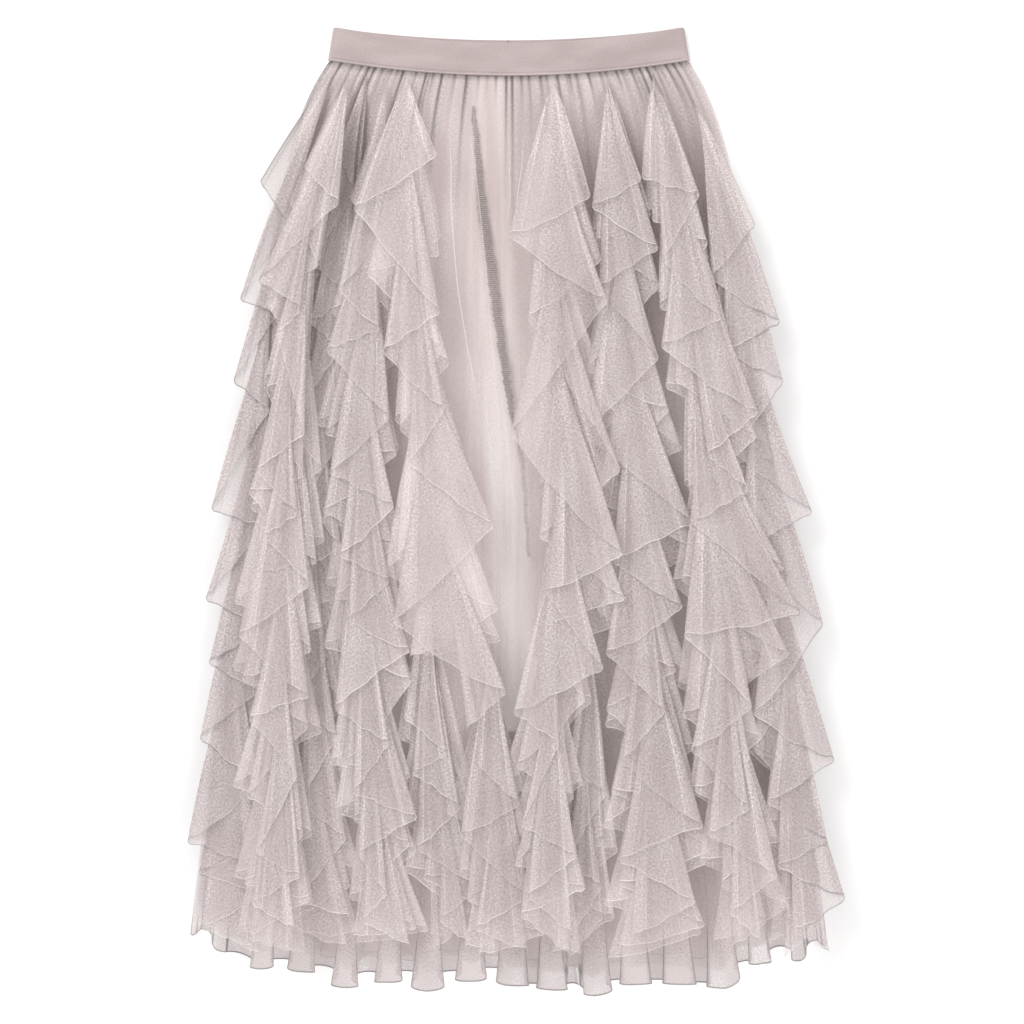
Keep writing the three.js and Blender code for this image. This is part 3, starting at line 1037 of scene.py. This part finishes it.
@dataclass
class Ruffle:
    """One ruffle strip: sewn along its seam, folded left and right down its free edge.

    Seam and tips are spots of x and drop, from the waist down. Its plies keep gap_clear from the
    middle of the front gap at the top and gap_clear_low further down, reach past_side over the
    skirt's side above low_from and stay short_of_side within it below, and their folds stand
    further out by hem_spread at the hem.
    """

    name: str
    level: int
    seam: list[tuple[float, float]]
    tips: list[tuple[float, float]]
    seed: int = 0
    fold_length: float = 150
    fold_step: float = 8
    ruffle_step: float = 12
    stand: float = 6
    level_lift: float = 13
    lift_by: float = 0.2
    swing_by: float = 0.6
    clear: float = 0.6
    round_least: float = 0.75
    round_most: float = 2.2
    round_wall: float = 2
    low_ruffle: float = 0.45
    ruffle_run: float = 100
    blunt: float = 2.2
    by_hem: float = 740
    hem_reach: float = 842
    hem_step: float = 24
    hem_spread: float = 1.4
    gap_clear: float = 30
    gap_clear_low: float = 14
    low_from: float = 800
    past_side: float = 1
    short_of_side: float = 6
    face_columns: int = 16
    face_rows: int = 24

    def folds(self) -> list[Fold]:
        """Find the strip's folds, from the waist down."""
        sewn = self.seam[0][1] - self.fold_step
        found = []
        for i, (x, drop) in enumerate(self.tips):
            sewn = max(sewn + self.fold_step, drop - self.fold_length)
            near = [self.tips[j] for j in (i - 2, i + 2) if 0 <= j < len(self.tips)]
            apart = min((abs(other[1] - drop) for other in near), default=60.0)
            free = self.ruffle_step * apart / self.fold_length - self.round_wall
            turn = min(self.round_most, max(self.round_least, free / 2))
            found.append(Fold(x, drop, float(follow(self.seam, sewn)), sewn, turn))
        return found

    def carried_on(self) -> list[tuple[float, float]]:
        """Carry the tips of a strip that ends by the hem on to it, for its plies."""
        tips = list(self.tips)
        while self.by_hem < tips[-1][1] < self.hem_reach:
            x = lerp(tips[-2][0], tips[-1][0], 0.15)
            tips.append((x, min(tips[-1][1] + self.hem_step, self.hem_reach + 8)))
        return tips

    def ply(self, name: str, spread: tuple[float, float], sink: float, rise: float) -> "Ruffle":
        """Make another ply of the strip, whose folds show between those of the one above.

        Args:
            name: What the ply is called.
            spread: The least and the most that its folds stand further out, in millimetres.
            sink: How much lower it stands, in millimetres.
            rise: The share of the strip's lift over its neighbours that it keeps.

        Returns:
            The ply.
        """
        chance = np.random.default_rng(self.seed + int(10 * sink))
        given = self.carried_on()
        tips = []
        for i, ((x, drop), (next_x, next_drop)) in enumerate(zip(given, given[2:])):
            outward = math.copysign(chance.uniform(*spread), x - given[i + 1][0])
            outward *= float(lerp(0.1, 1.0, eased(drop, 170, 220)))
            outward *= float(lerp(1.0, self.hem_spread, eased(drop, self.by_hem, 60)))
            share = chance.uniform(0.3, 0.7)
            spot = lerp(x, next_x, share) + outward, lerp(drop, next_drop, share)
            past = self.past_side if spot[1] < self.low_from else -self.short_of_side
            half = float(SHAPE.half_width(spot[1])) + past
            across = float(np.clip(spot[0], SHAPE.middle_x - half, SHAPE.middle_x + half))
            middle = float(gap_at(spot[1], "x"))
            clear = float(lerp(self.gap_clear, self.gap_clear_low, eased(spot[1], 380, 200)))
            if spot[1] < V_GAP["drop"][-1] and abs(across - middle) < clear:
                across = middle + math.copysign(clear, self.seam[0][0] - middle)
            tips.append((across, spot[1]))
        return replace(
            self,
            name=f"{self.name}_{name}",
            tips=tips,
            seed=self.seed + 40,
            stand=self.stand - sink,
            level_lift=self.level_lift * rise,
            ruffle_step=self.ruffle_step - 2.5,
        )

    def face(self, start: Fold, end: Fold, bows: tuple[float, float], chance: Any) -> Face:
        """Work out the cloth between two folds.

        Args:
            start: The upper fold.
            end: The lower fold.
            bows: How far each fold bows to the side, in millimetres.
            chance: The strip's source of unevenness.

        Returns:
            The grid of the face.
        """
        share = np.linspace(0, 1, self.face_columns + 1)[None, :]
        out = np.linspace(0, 1, self.face_rows + 1)[:, None]
        turn = (1 - np.cos(np.pi * share)) / 2
        run = math.hypot(end.x - start.x, end.drop - start.drop)
        bow = chance.uniform(-0.02, 0.07) * run
        wavy = chance.uniform(0.5, 1.6) * np.sin(2 * np.pi * (2.5 * turn + chance.uniform()))
        tip_x = lerp(start.x, end.x, turn)
        from_tip, to_tip = turn * run / self.blunt, (1 - turn) * run / self.blunt
        blunt = self.blunt * (from_tip * np.exp(1 - from_tip) - to_tip * np.exp(1 - to_tip))
        tip_drop = lerp(start.drop, end.drop, turn) + (bow + wavy) * np.sin(np.pi * turn) + blunt
        sewn_x = lerp(start.sewn_x, end.sewn_x, share)
        x = lerp(sewn_x, tip_x, out) + lerp(*bows, turn) * np.sin(np.pi * out)
        drop = lerp(lerp(start.sewn_drop, end.sewn_drop, share), tip_drop, out)
        lifted = np.minimum(1, out / self.lift_by)
        roundness = np.where(share < 0.5, start.turn, end.turn)
        swing = roundness * smooth(out / self.swing_by) * np.sin(2 * np.pi * share)
        scale = lerp(self.low_ruffle, 1, eased(drop, SHAPE.band_height, self.ruffle_run))
        pleats = chance.integers(3, 6)
        ripple = np.sin(2 * np.pi * (pleats * share + chance.uniform())) * np.sin(np.pi * share)
        ripple = 0.55 * ripple * (0.35 + 0.65 * out) * (1 - 0.5 * out)
        stood = (self.stand + self.level * self.level_lift) * lifted + self.ruffle_step * out
        z = SHAPE.ground(x, drop, lifted) + self.clear + scale * (stood - swing + ripple)
        points = SHAPE.place(x, drop, z)
        last = share.size - 1
        ends = [np.linalg.norm(points - points[:, i : i + 1], axis=-1) for i in (0, last)]
        left, right = chance.integers(3, 6), self.face_columns - chance.integers(3, 6)
        turned = [(end - end[:, at : at + 1]) / MM for end, at in zip(ends, (left, right))]
        rim = smooth((np.abs(SHAPE.side_of(x, drop)) - 0.95) / 0.04)
        _, crease = GATHERS.at(SHAPE.side_of(x, drop), drop - SHAPE.waist_drop(x))
        faint = chance.uniform(0.75, 1.7, 2)
        seed = int(chance.integers(1, 9999))
        # Light and dark streaks across the face: painted light and shade of its fine pleats.
        pleat_light_and_shade = cloudy(share * 13, out * 1.3 + 0 * share, seed) * 0.8
        patches = cloudy(points[..., 0] / 0.02, points[..., 1] / 0.02, seed + 1) * 0.3
        angle, across, along = chance.uniform(-0.5, 0.5), chance.uniform(), chance.uniform()
        return Face(
            points=points,
            net=spun(points[..., 0], points[..., 1], angle, across, along),
            values={
                "hem": faint[0] * np.linalg.norm(points - points[-1:], axis=-1) / MM,
                "fold": faint[1] * np.minimum(*ends) / MM + 4 * (1 - smooth(out / 0.3)),
                # Painted shade near the seam, under the faces above, in the gathers' creases and
                # at the skirt's rim.
                "painted_shade": np.clip(0.1 * (1 - smooth(out / 0.5)) + 0.6 * crease, 0, 0.7)
                + 0.07 * rim,
                "cover": smooth(out / 0.1) * (1.55 - 0.7 * smooth(out)) * (1 + 0.35 * rim)
                + 0.6 * crease,
                "weave": pleat_light_and_shade + patches,
                "rim": rim,
                "turned": np.minimum(*turned) + 6 * (1 - smooth(out / 0.25)),
            },
        )

    def build(self, finish: bpy.types.Material, *nodes: str) -> bpy.types.Object:
        """Make the strip and hang it on the frame."""
        chance = np.random.default_rng(self.seed)
        folds = self.folds()
        bows = chance.uniform(-3.5, 3.5, len(folds))
        faces = [
            self.face(start, end, (bows[k], bows[k + 1]), chance)
            for k, (start, end) in enumerate(zip(folds, folds[1:]))
        ]
        piece = self.joined(faces, finish)
        settle(piece, Slot.RUFFLE_TULLE, *nodes)
        depths = [math.hypot(f.x - f.sewn_x, f.drop - f.sewn_drop) for f in folds]
        return piece

    def joined(self, faces: list[Face], finish: bpy.types.Material) -> bpy.types.Object:
        """Join the faces into one sheet, each fold's points shared by its two faces.

        Args:
            faces: The faces from the waist down.
            finish: The strip's finish.

        Returns:
            The strip's object.
        """

        def row(grids: list[Array]) -> Array:
            """Lay the faces' grids side by side, with each shared fold once."""
            return np.concatenate([grid[:, :-1] for grid in grids] + [grids[-1][:, -1:]], axis=1)

        values = {key: row([face.values[key] for face in faces]) for key in faces[0].values}
        points, net = row([face.points for face in faces]), row([face.net for face in faces])
        piece = Cloth(self.name + "_cloth", points, net, values).build(finish)
        corners = [
            np.stack([n[:-1, :-1], n[1:, :-1], n[1:, 1:], n[:-1, 1:]], axis=2)
            for n in (face.net for face in faces)
        ]
        whole = np.concatenate(corners, axis=1).astype(np.float32).ravel()
        piece.data.uv_layers["net"].data.foreach_set("uv", whole)
        return piece


RUFFLES = [
    Ruffle(
        "ruffle_left_side", 0,
        [(-162, 33), (-186, 77), (-202, 131), (-214, 190), (-222, 248), (-252, 518), (-278, 823)],
        [
            (-230, 141), (-204, 178), (-248, 247), (-214, 259), (-254, 321), (-222, 347),
            (-274, 436), (-224, 450), (-279, 517), (-228, 540), (-276, 574), (-227, 598),
            (-284, 642), (-229, 679), (-295, 735), (-226, 758),
        ],
    ),
    Ruffle(
        "ruffle_left_outer", 2,
        [(-149, 36), (-194, 203), (-208, 383), (-210, 815)],
        [
            (-188, 130), (-158, 163), (-229, 233), (-192, 257), (-212, 280), (-188, 368),
            (-230, 402), (-194, 439), (-225, 460), (-183, 503), (-246, 548), (-184, 602),
            (-237, 623), (-194, 671), (-230, 739), (-191, 760), (-233, 785), (-196, 807),
        ],
    ),
    Ruffle(
        "ruffle_left_middle", 0,
        [(-133, 38), (-175, 212), (-182, 338), (-180, 428), (-184, 608), (-185, 815)],
        [
            (-160, 113), (-146, 149), (-183, 214), (-150, 242), (-185, 268), (-158, 293),
            (-191, 338), (-158, 374), (-189, 430), (-156, 469), (-184, 487), (-170, 568),
            (-196, 611), (-160, 640), (-194, 700), (-152, 730), (-195, 785), (-148, 800),
        ],
    ),
    Ruffle(
        "ruffle_left_inner", 1,
        [(-115, 40), (-142, 320), (-136, 518), (-124, 815)],
        [
            (-148, 158), (-124, 194), (-158, 239), (-122, 275), (-169, 294), (-113, 354),
            (-166, 404), (-109, 433), (-157, 477), (-113, 500), (-149, 534), (-95, 562),
            (-161, 613), (-113, 644), (-145, 688), (-88, 710), (-140, 742), (-115, 778),
            (-136, 802), (-94, 825),
        ],
    ),
    Ruffle(
        "ruffle_left_front", 2,
        [(-100, 41), (-91, 293), (-68, 482)],
        [
            (-71, 120), (-144, 168), (-68, 261), (-118, 296), (-64, 347), (-95, 395),
            (-20, 451), (-108, 536), (-9, 598), (-43, 631),
        ],
    ),
    Ruffle(
        "ruffle_low_left", 0,
        [(-76, 500), (-72, 815)],
        [
            (-100, 622), (-62, 655), (-92, 672), (-50, 702), (-88, 739), (-33, 773), (-68, 802),
            (-41, 823),
        ],
    ),
    Ruffle(
        "ruffle_low_middle", 1,
        [(-23, 530), (-12, 815)],
        [(-34, 662), (3, 698), (-49, 725), (12, 780), (-36, 808), (10, 828)],
    ),
    Ruffle(
        "ruffle_right_front", 2,
        [(32, 44), (36, 248), (41, 428), (31, 608), (32, 815)],
        [
            (66, 157), (-6, 192), (81, 251), (-5, 369), (94, 476), (26, 509), (77, 577),
            (-2, 616), (38, 643), (5, 716), (53, 743), (10, 778), (49, 811),
        ],
    ),
    Ruffle(
        "ruffle_low_right", 0,
        [(62, 520), (65, 815)],
        [(47, 667), (81, 689), (45, 751), (76, 772), (49, 815)],
    ),
    Ruffle(
        "ruffle_right_inner", 1,
        [(82, 42), (98, 248), (112, 482), (125, 815)],
        [
            (112, 140), (68, 165), (127, 203), (74, 239), (127, 301), (60, 369), (157, 448),
            (86, 482), (148, 523), (80, 564), (132, 616), (94, 660), (166, 718), (92, 748),
            (159, 785), (103, 815),
        ],
    ),
    Ruffle(
        "ruffle_right_outer", 2,
        [(125, 38), (148, 158), (155, 248), (169, 383), (180, 482), (191, 608), (202, 815)],
        [
            (112, 140), (163, 156), (131, 214), (182, 266), (129, 291), (215, 350), (170, 388),
            (206, 419), (157, 448), (253, 529), (149, 548), (209, 611), (155, 649), (206, 701),
            (170, 724), (231, 761), (190, 793), (217, 820),
        ],
    ),
    Ruffle(
        "ruffle_right_side", 1,
        [(141, 34), (173, 77), (189, 131), (201, 190), (209, 248), (239, 518), (265, 823)],
        [
            (214, 181), (175, 229), (236, 269), (184, 295), (239, 322), (191, 383), (265, 439),
            (200, 469), (275, 539), (212, 618), (285, 661), (224, 697), (278, 733), (233, 754),
            (294, 784), (247, 811), (280, 833),
        ],
    ),
]


@dataclass
class Lining:
    """The satin lining: a plain flattened tube down to below the knee."""

    name: str = "satin_lining"
    half: float = 148
    flare: float = 0.1
    hem: float = 638
    rise: float = 1.3
    loft: float = 0.35
    girth: float = 660
    columns: int = 120
    rows: int = 80

    def build(self) -> bpy.types.Object:
        """Make the lining and hang it on the frame."""
        share = np.linspace(0, 1, self.rows + 1)[:, None]
        across = np.linspace(-1, 1, self.columns + 1)[None, :]
        nominal = lerp(SHAPE.band_height, self.hem, share)
        half = self.half + self.flare * (nominal - SHAPE.band_height)
        front = self.wall(share, across, half, 1.0, 0.0)
        back = self.wall(share, across[:, ::-1], half, 0.0, 0.0)
        ends = [
            self.wall(share, np.array([[side]]), half, 0.5, side * self.rise / 2)
            for side in (1.0, -1.0)
        ]
        points = np.concatenate([front, ends[0], back, ends[1]], axis=1)
        around = np.linspace(0, 1, points.shape[1])[None, :] + 0 * share
        net = np.stack([around * self.girth * MM, points[..., 1]], axis=-1)
        # Painted light: the lining grows paler from a drop of 150 mm to 410 mm, toward its hem.
        pale = smooth((SHAPE.length / 2 - points[..., 1] / MM - 150) / 260)
        cloth = Cloth(self.name, points, net, {"pale": pale}, ring=True)
        piece = cloth.build(SatinFinish().material())
        settle(piece, Slot.SATIN, "lining")
        wide = 4 * (self.half + self.flare * (self.hem - SHAPE.band_height)) * MM
        long = (self.hem - SHAPE.band_height) * MM
        return piece

    def wall(self, share: Array, side: Array, half: Array, rise: float, out: float) -> Array:
        """Work out one wall of the tube, with its soft creases."""
        waist = SHAPE.waist_drop(SHAPE.middle_x + side * self.half)
        drop = lerp(waist, self.hem, share)
        height = self.rise + self.loft * SHAPE.loft(drop) * SHAPE.shoulder(side, drop)
        crease = 0.5 * np.sin(17 * side + 2.2 * np.sin(3 * share)) * np.sin(9 * side + 1.3)
        x = SHAPE.middle_x + side * half + out
        z = SHAPE.side_z + rise * (height + crease * smooth(share / 0.15) * (1 - side**4))
        return SHAPE.place(x, drop, z)


@dataclass
class Waistband:
    """The elastic waistband, a flattened ring, with its ridge and sewing."""

    name: str = "elastic_band"
    across: int = 120
    rows: int = 10
    stitch: float = 2.6
    stitch_rise: float = 2.9
    thread: float = 0.28
    roll: float = 0.75
    top_narrow: float = 0.97
    seam_x: float = -7.2

    def path(self, down: float) -> Array:
        """Go once round the band at a distance down it, from 0 to 1.

        Args:
            down: 0 on the top edge, 1 on the lower one.

        Returns:
            The middle of the wall, in millimetres: x, drop and height.
        """
        sides = np.linspace(-1, 1, self.across + 1)
        straight, turn = SHAPE.band_straight, SHAPE.band_round
        middle = SHAPE.band_wall / 2 + turn
        angles = np.linspace(0, math.pi, 7)[1:-1]
        out, up = straight + turn * np.sin(angles), turn * np.cos(angles)
        front = np.stack([sides * straight, sides, 0 * sides + SHAPE.band_front_z], -1)
        right = np.stack([out, 0 * out + 1, middle + up], -1)
        back = np.stack([-sides * straight, -sides, 0 * sides + SHAPE.band_wall / 2], -1)
        left = np.stack([-out, 0 * out - 1, middle - up], -1)
        ring = np.concatenate([front, right, back, left])
        backs = ring[:, 2] < middle
        step = np.where(backs, SHAPE.back_band_step, 0) * (1 - ring[:, 1] ** 2) * (1 - down)
        drop = SHAPE.band_dip(ring[:, 1]) - step + down * SHAPE.band_height
        narrowed = ring[:, 0] * lerp(self.top_narrow, 1.0, down)
        return np.stack([SHAPE.middle_x + narrowed, drop, ring[:, 2]], -1)

    def build(self) -> bpy.types.Object:
        """Make the band and its sewing, and hang them on the frame."""
        downs = np.linspace(0, 1, self.rows + 1)
        grid = np.stack([self.path(float(down)) for down in downs])
        points = SHAPE.place(grid[..., 0], grid[..., 1], grid[..., 2])
        below = (downs * SHAPE.band_height * MM)[:, None]
        net = np.stack(np.broadcast_arrays(lengths(points[0])[None, :], below), -1)
        cloth = Cloth(self.name, points, net, ring=True)
        piece = cloth.build(ElasticFinish().material())
        apply_modifier(
            piece, "SOLIDIFY", thickness=SHAPE.band_wall * MM, offset=0.0, use_even_offset=True
        )
        apply_modifier(
            piece, "BEVEL", width=0.5 * MM, segments=2, limit_method="ANGLE", angle_limit=0.9
        )
        piece.data.shade_smooth()
        settle(piece, Slot.ELASTIC, "waistband")
        ridge = self.ridge()
        stitches = self.stitches()
        notch = self.back_seam()
        return piece

    def tube(self, name: str, line: Array, finish: bpy.types.Material) -> bpy.types.Object:
        """Make a thin roll along a closed line.

        Args:
            name: The piece's name.
            line: Points in metres.
            finish: Its material.

        Returns:
            The roll, as a mesh.
        """
        curve = bpy.data.curves.new(name, "CURVE")
        curve.dimensions = "3D"
        curve.bevel_depth = self.roll * MM
        curve.bevel_resolution = 1
        spline = curve.splines.new("POLY")
        spline.points.add(len(line) - 1)
        spline.points.foreach_set("co", np.c_[line, np.ones(len(line))].ravel())
        spline.use_cyclic_u = True
        select_only(placed(name, curve))
        bpy.ops.object.convert(target="MESH")
        made = bpy.context.view_layer.objects.active
        made.data.materials.append(finish)
        made.data.shade_smooth()
        return made

    def ridge(self) -> bpy.types.Object:
        """Make the raised ridge where the band is sewn to the skirt."""
        line = self.path(1.0)
        outward = np.where(line[:, 2:3] > SHAPE.band_wall / 2 + SHAPE.band_round, 1.0, -1.0)
        line = line + np.concatenate([0 * outward, 0 * outward - 0.9, outward * 0.55], axis=1)
        line[:, 2] = np.maximum(line[:, 2], self.roll)
        points = SHAPE.place(line[:, 0], line[:, 1], line[:, 2])
        finish = ThreadFinish("sewn ridge", linear(214, 204, 203), linear(192, 179, 178))
        made = self.tube("band_ridge", points, finish.material())
        settle(made, Slot.ELASTIC)
        return made

    def stitches(self) -> bpy.types.Object:
        """Make the row of topstitching just above the ridge, along the front."""
        line = self.path(1 - self.stitch_rise / SHAPE.band_height)[: self.across + 1]
        x, drop, z = line[:, 0], line[:, 1], line[:, 2] + SHAPE.band_wall / 2 + 0.05
        points = SHAPE.place(x, drop, z)
        run = lengths(points)
        count = int(run[-1] / (self.stitch * MM))
        bpy.ops.object.select_all(action="DESELECT")
        bpy.ops.mesh.primitive_cylinder_add(
            vertices=6, radius=self.thread * MM, depth=0.62 * self.stitch * MM,
            rotation=(0, math.pi / 2, 0),
        )
        first = bpy.context.view_layer.objects.active
        bpy.ops.object.transform_apply(location=False, rotation=True, scale=False)
        bpy.ops.object.mode_set(mode="EDIT")
        bpy.ops.mesh.select_all(action="SELECT")
        bpy.ops.mesh.bevel(offset=0.1 * MM, segments=1)
        bpy.ops.object.mode_set(mode="OBJECT")
        shape = [vertex.co.copy() for vertex in first.data.vertices]
        faces = [tuple(face.vertices) for face in first.data.polygons]
        spots, rings = [], []
        for i in range(count):
            at = (i + 0.5) * self.stitch * MM
            centre = Vector([float(np.interp(at, run, points[:, k])) for k in range(3)])
            ahead = Vector([float(np.interp(at + 0.001, run, points[:, k])) for k in range(3)])
            slope = math.atan2(ahead.y - centre.y, ahead.x - centre.x)
            for spot in shape:
                turned_x = spot.x * math.cos(slope) - spot.y * math.sin(slope)
                turned_y = spot.x * math.sin(slope) + spot.y * math.cos(slope)
                spots.append(centre + Vector((turned_x, turned_y, spot.z)))
            rings.extend(tuple(v + i * len(shape) for v in face) for face in faces)
        mesh = bpy.data.meshes.new("band_topstitching")
        mesh.from_pydata(spots, [], rings)
        finish = ThreadFinish("band thread", linear(176, 162, 162), linear(148, 134, 135))
        mesh.materials.append(finish.material())
        mesh.shade_smooth()
        made = placed("band_topstitching", mesh)
        bpy.data.objects.remove(first)
        settle(made, Slot.ELASTIC)
        return made

    def back_seam(self) -> bpy.types.Object:
        """Make the joining seam at the band's centre back, which shows above the front."""
        line = self.path(0.0)
        backs = line[line[:, 2] < SHAPE.band_wall]
        drop = float(np.interp(self.seam_x, backs[::-1, 0], backs[::-1, 1]))
        bpy.ops.object.select_all(action="DESELECT")
        bpy.ops.mesh.primitive_cube_add(size=1)
        made = bpy.context.view_layer.objects.active
        made.name = made.data.name = "band_back_seam"
        made.scale = (1.4 * MM, 26 * MM, 0.7 * MM)
        centre = SHAPE.place(self.seam_x, drop + 13.2, SHAPE.band_wall + 0.25)
        made.location = Vector([float(v) for v in centre])
        bpy.ops.object.transform_apply(location=True, rotation=False, scale=True)
        apply_modifier(made, "BEVEL", width=0.3 * MM, segments=2)
        finish = ThreadFinish("back seam", linear(168, 153, 153), linear(140, 126, 127))
        made.data.materials.append(finish.material())
        made.data.shade_smooth()
        settle(made, Slot.ELASTIC)
        return made


@dataclass
class FrontSeam:
    """The serged edge of the front seam, a dark strip seen on the tulle.

    A knot of its line is x, drop and width, and a rung is the distance between its stitches.
    """

    name: str = "serged_front_seam"
    knots: tuple[tuple[float, float, float], ...] = (
        (-38.2, 71, 2.8), (-37.6, 84, 4.6), (-34.8, 115, 6.2), (-31.2, 158, 8.4),
        (-26.0, 194, 9.8), (-20.7, 230, 9.4), (-12.6, 293, 8.2), (-4.5, 345, 6.6),
        (3.6, 383, 5.4), (7.2, 410, 4.8), (11.7, 480, 3.6),
    )
    step: float = 0.85
    rung: float = 1.7
    sunk: float = 0.9

    def build(self) -> bpy.types.Object:
        """Make the strip's threads and hang them on the frame."""
        knots = np.array(self.knots, dtype=float)
        drops = np.arange(knots[0, 1], knots[-1, 1], self.step)
        x = np.interp(drops, knots[:, 1], knots[:, 0])
        width = np.interp(drops, knots[:, 1], knots[:, 2])
        side = SHAPE.side_of(x, drops)
        height = (OUTER.rise + SHAPE.loft(drops)) * SHAPE.shoulder(side, drops)
        z = SHAPE.side_z + height - self.sunk
        across = np.linspace(-0.5, 0.5, 9)[None, :]
        wavy = 0.35 * np.sin(drops * 0.21) + 0.25 * np.sin(drops * 0.067)
        frayed = 1 + 0.5 * cloudy(drops / 1.3, 0 * drops, 3)
        grid_x = x[:, None] + across * (width * frayed)[:, None] + wavy[:, None]
        ladder = 0.15 * np.sin(drops * 2 * math.pi / self.rung)[:, None] * np.cos(math.pi * across)
        grid_z = z[:, None] + 0.1 * np.cos(math.pi * across) + ladder
        points = SHAPE.place(grid_x, drops[:, None] + 0 * across, grid_z)
        net = np.stack([across * width[:, None] * MM, drops[:, None] * MM + 0 * across], -1)
        faint = 0.7 * eased(drops, 330, 60)[:, None]
        cloth = Cloth(self.name, points, net, {"edge": 2 * np.abs(across) + faint})
        piece = cloth.build(self.finish())
        settle(piece, Slot.TULLE)
        return piece

    def finish(self) -> bpy.types.Material:
        """Make the look of close overlocked threads."""
        finish = Finish("serging")
        net = finish.map("net")
        _, down = finish.split(net)
        rungs = (down * (2 * math.pi / (self.rung * MM))).sine()
        fleck = finish.noise(net, (900, 500), 1.0)
        tone = finish.mix(
            (0.4 * rungs + fleck).ramp(0.0, 1.0), linear(98, 86, 87), linear(182, 169, 169)
        )
        soft = finish.value("edge").ramp(0.55, 1.0, 0.92, 0.35)
        alpha = (soft + 0.22 * rungs + 1.1 * (fleck - 0.5)).share()
        return finish.surface(
            {
                "Base Color": tone,
                "Alpha": alpha,
                "Roughness": 0.8,
                "Normal": finish.bump(rungs, 0.5, 0.0004),
            }
        )


@dataclass
class Studio:
    """A pale floor, soft light and a camera straight above."""

    distance: float = 2.56
    aim: tuple[float, float, float] = (-0.0036, -0.0022, 0.025)
    sky: tuple[float, float, float, float] = (1.0, 0.99, 0.985, 1.0)
    sky_strength: float = 0.72
    floor_tone: tuple[float, float, float, float] = (0.93, 0.93, 0.93, 1.0)
    floor_glow: tuple[float, float, float, float] = (1.0, 1.0, 1.0, 1.0)
    floor_drop: float = 0.0004

    def build(self) -> None:
        """Set the stage."""
        scene = bpy.context.scene
        scene.view_settings.view_transform = "Standard"
        scene.view_settings.look = "None"
        scene.cycles.transparent_max_bounces = 9
        scene.cycles.max_bounces = 3
        scene.cycles.diffuse_bounces = 2
        scene.cycles.light_sampling_threshold = 0.3
        self.camera()
        self.floor()
        self.light("key", (-1.5, 1.9, 2.3), size=1.6, power=54.0)
        self.light("fill", (1.9, -0.6, 2.4), size=2.2, power=24.0)
        world = bpy.data.worlds.new("studio")
        world.use_nodes = True
        sky = world.node_tree.nodes["Background"].inputs
        sky["Color"].default_value = self.sky
        sky["Strength"].default_value = self.sky_strength
        scene.world = world

    def camera(self) -> None:
        """Add the camera."""
        data = bpy.data.cameras.new("camera")
        data.lens = 100
        data.sensor_width = 36
        data.clip_end = 50
        camera = placed("camera", data)
        camera.location = Vector(self.aim) + Vector((0, 0, self.distance))
        bpy.context.scene.camera = camera

    def floor(self) -> None:
        """Add the floor."""
        bpy.ops.object.select_all(action="DESELECT")
        bpy.ops.mesh.primitive_plane_add(size=12, location=(0, 0, -self.floor_drop))
        floor = bpy.context.view_layer.objects.active
        floor.name = "floor"
        finish = Finish("pale floor")
        floor.data.materials.append(
            finish.surface(
                {
                    "Base Color": self.floor_tone,
                    "Roughness": 0.9,
                    "Emission Color": self.floor_glow,
                    "Emission Strength": 0.1,
                }
            )
        )

    def light(
        self, name: str, place: tuple[float, float, float], size: float, power: float
    ) -> None:
        """Add a soft square light that faces the skirt."""
        data = bpy.data.lights.new(name, "AREA")
        data.shape = "SQUARE"
        data.size = size
        data.energy = power
        lamp = placed(name, data)
        lamp.location = place
        lamp.rotation_euler = (-Vector(place)).to_track_quat("-Z", "Y").to_euler()


def main() -> None:
    """Build the skirt, piece by piece."""
    logging.basicConfig(level=logging.INFO, format="%(message)s")
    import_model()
    Studio().build()
    # Painted shade: the back and inner tulle get darker tones than the outer and ruffle tulle, and
    # the outer tulle a darker pale tone than the ruffles on top.
    dense = TulleFinish(
        "back tulle", cover=0.85, hem_line=0.1, grain=0.3, tone=linear(196, 181, 181)
    ).material()
    inner = TulleFinish(
        "inner tulle", cover=0.66, hem_line=0.3, grain=0.25, fleck=0.2,
        tone=linear(198, 183, 183), light=linear(216, 203, 202),
    ).material()
    plain = TulleFinish(
        "outer tulle", cover=0.33, fold_line=0.4, fleck=0.4, light=linear(234, 226, 224),
        band_line=0.8, band_cover=0.0,
    ).material()
    frill = TulleFinish("ruffle tulle", cover=0.36).material()
    TullePanel(
        "tulle_back_cloth", BACK, Held.LAID, rows=40, columns=200, flat=True,
        seed=3, side_fade=16, side_cover=0.4, hollow_shade=0.1, tuck=0.0,
    ).build(dense, "tulle_back")
    Lining().build()
    Waistband().build()
    TullePanel(
        "inner_tulle", INNER, Held.GATHERED, seed=4, phase=0.06, gap_cover=0.08, side_fade=10,
        side_cover=0.5, depth_shade=0.1,
    ).build(inner, "tulle_inner_front")
    seam = FrontSeam().build()
    left = TullePanel(
        "outer_tulle_left", OUTER, Held.GATHERED, side_to=0, columns=300, seed=6,
        gap_cover=0.35, hem_cover=1.1, depth_shade=0.04,
    )
    left.build(plain, "tulle_front_left", (seam,))
    right = replace(left, name="outer_tulle_right", side_from=0, side_to=1.0, seed=7)
    right.build(plain, "tulle_front_right")
    for number, strip in enumerate(RUFFLES):
        strip.seed = 20 + number
        let_light_through(strip.ply("low", spread=(6, 20), sink=5.0, rise=0.6).build(frill))
        under = strip.ply("under", spread=(-2, 11), sink=3.5, rise=1.0).build(frill)
        if strip.name in BY_THE_GAP:
            let_light_through(under)
        strip.build(frill, strip.name)


if __name__ == "__main__":
    main()
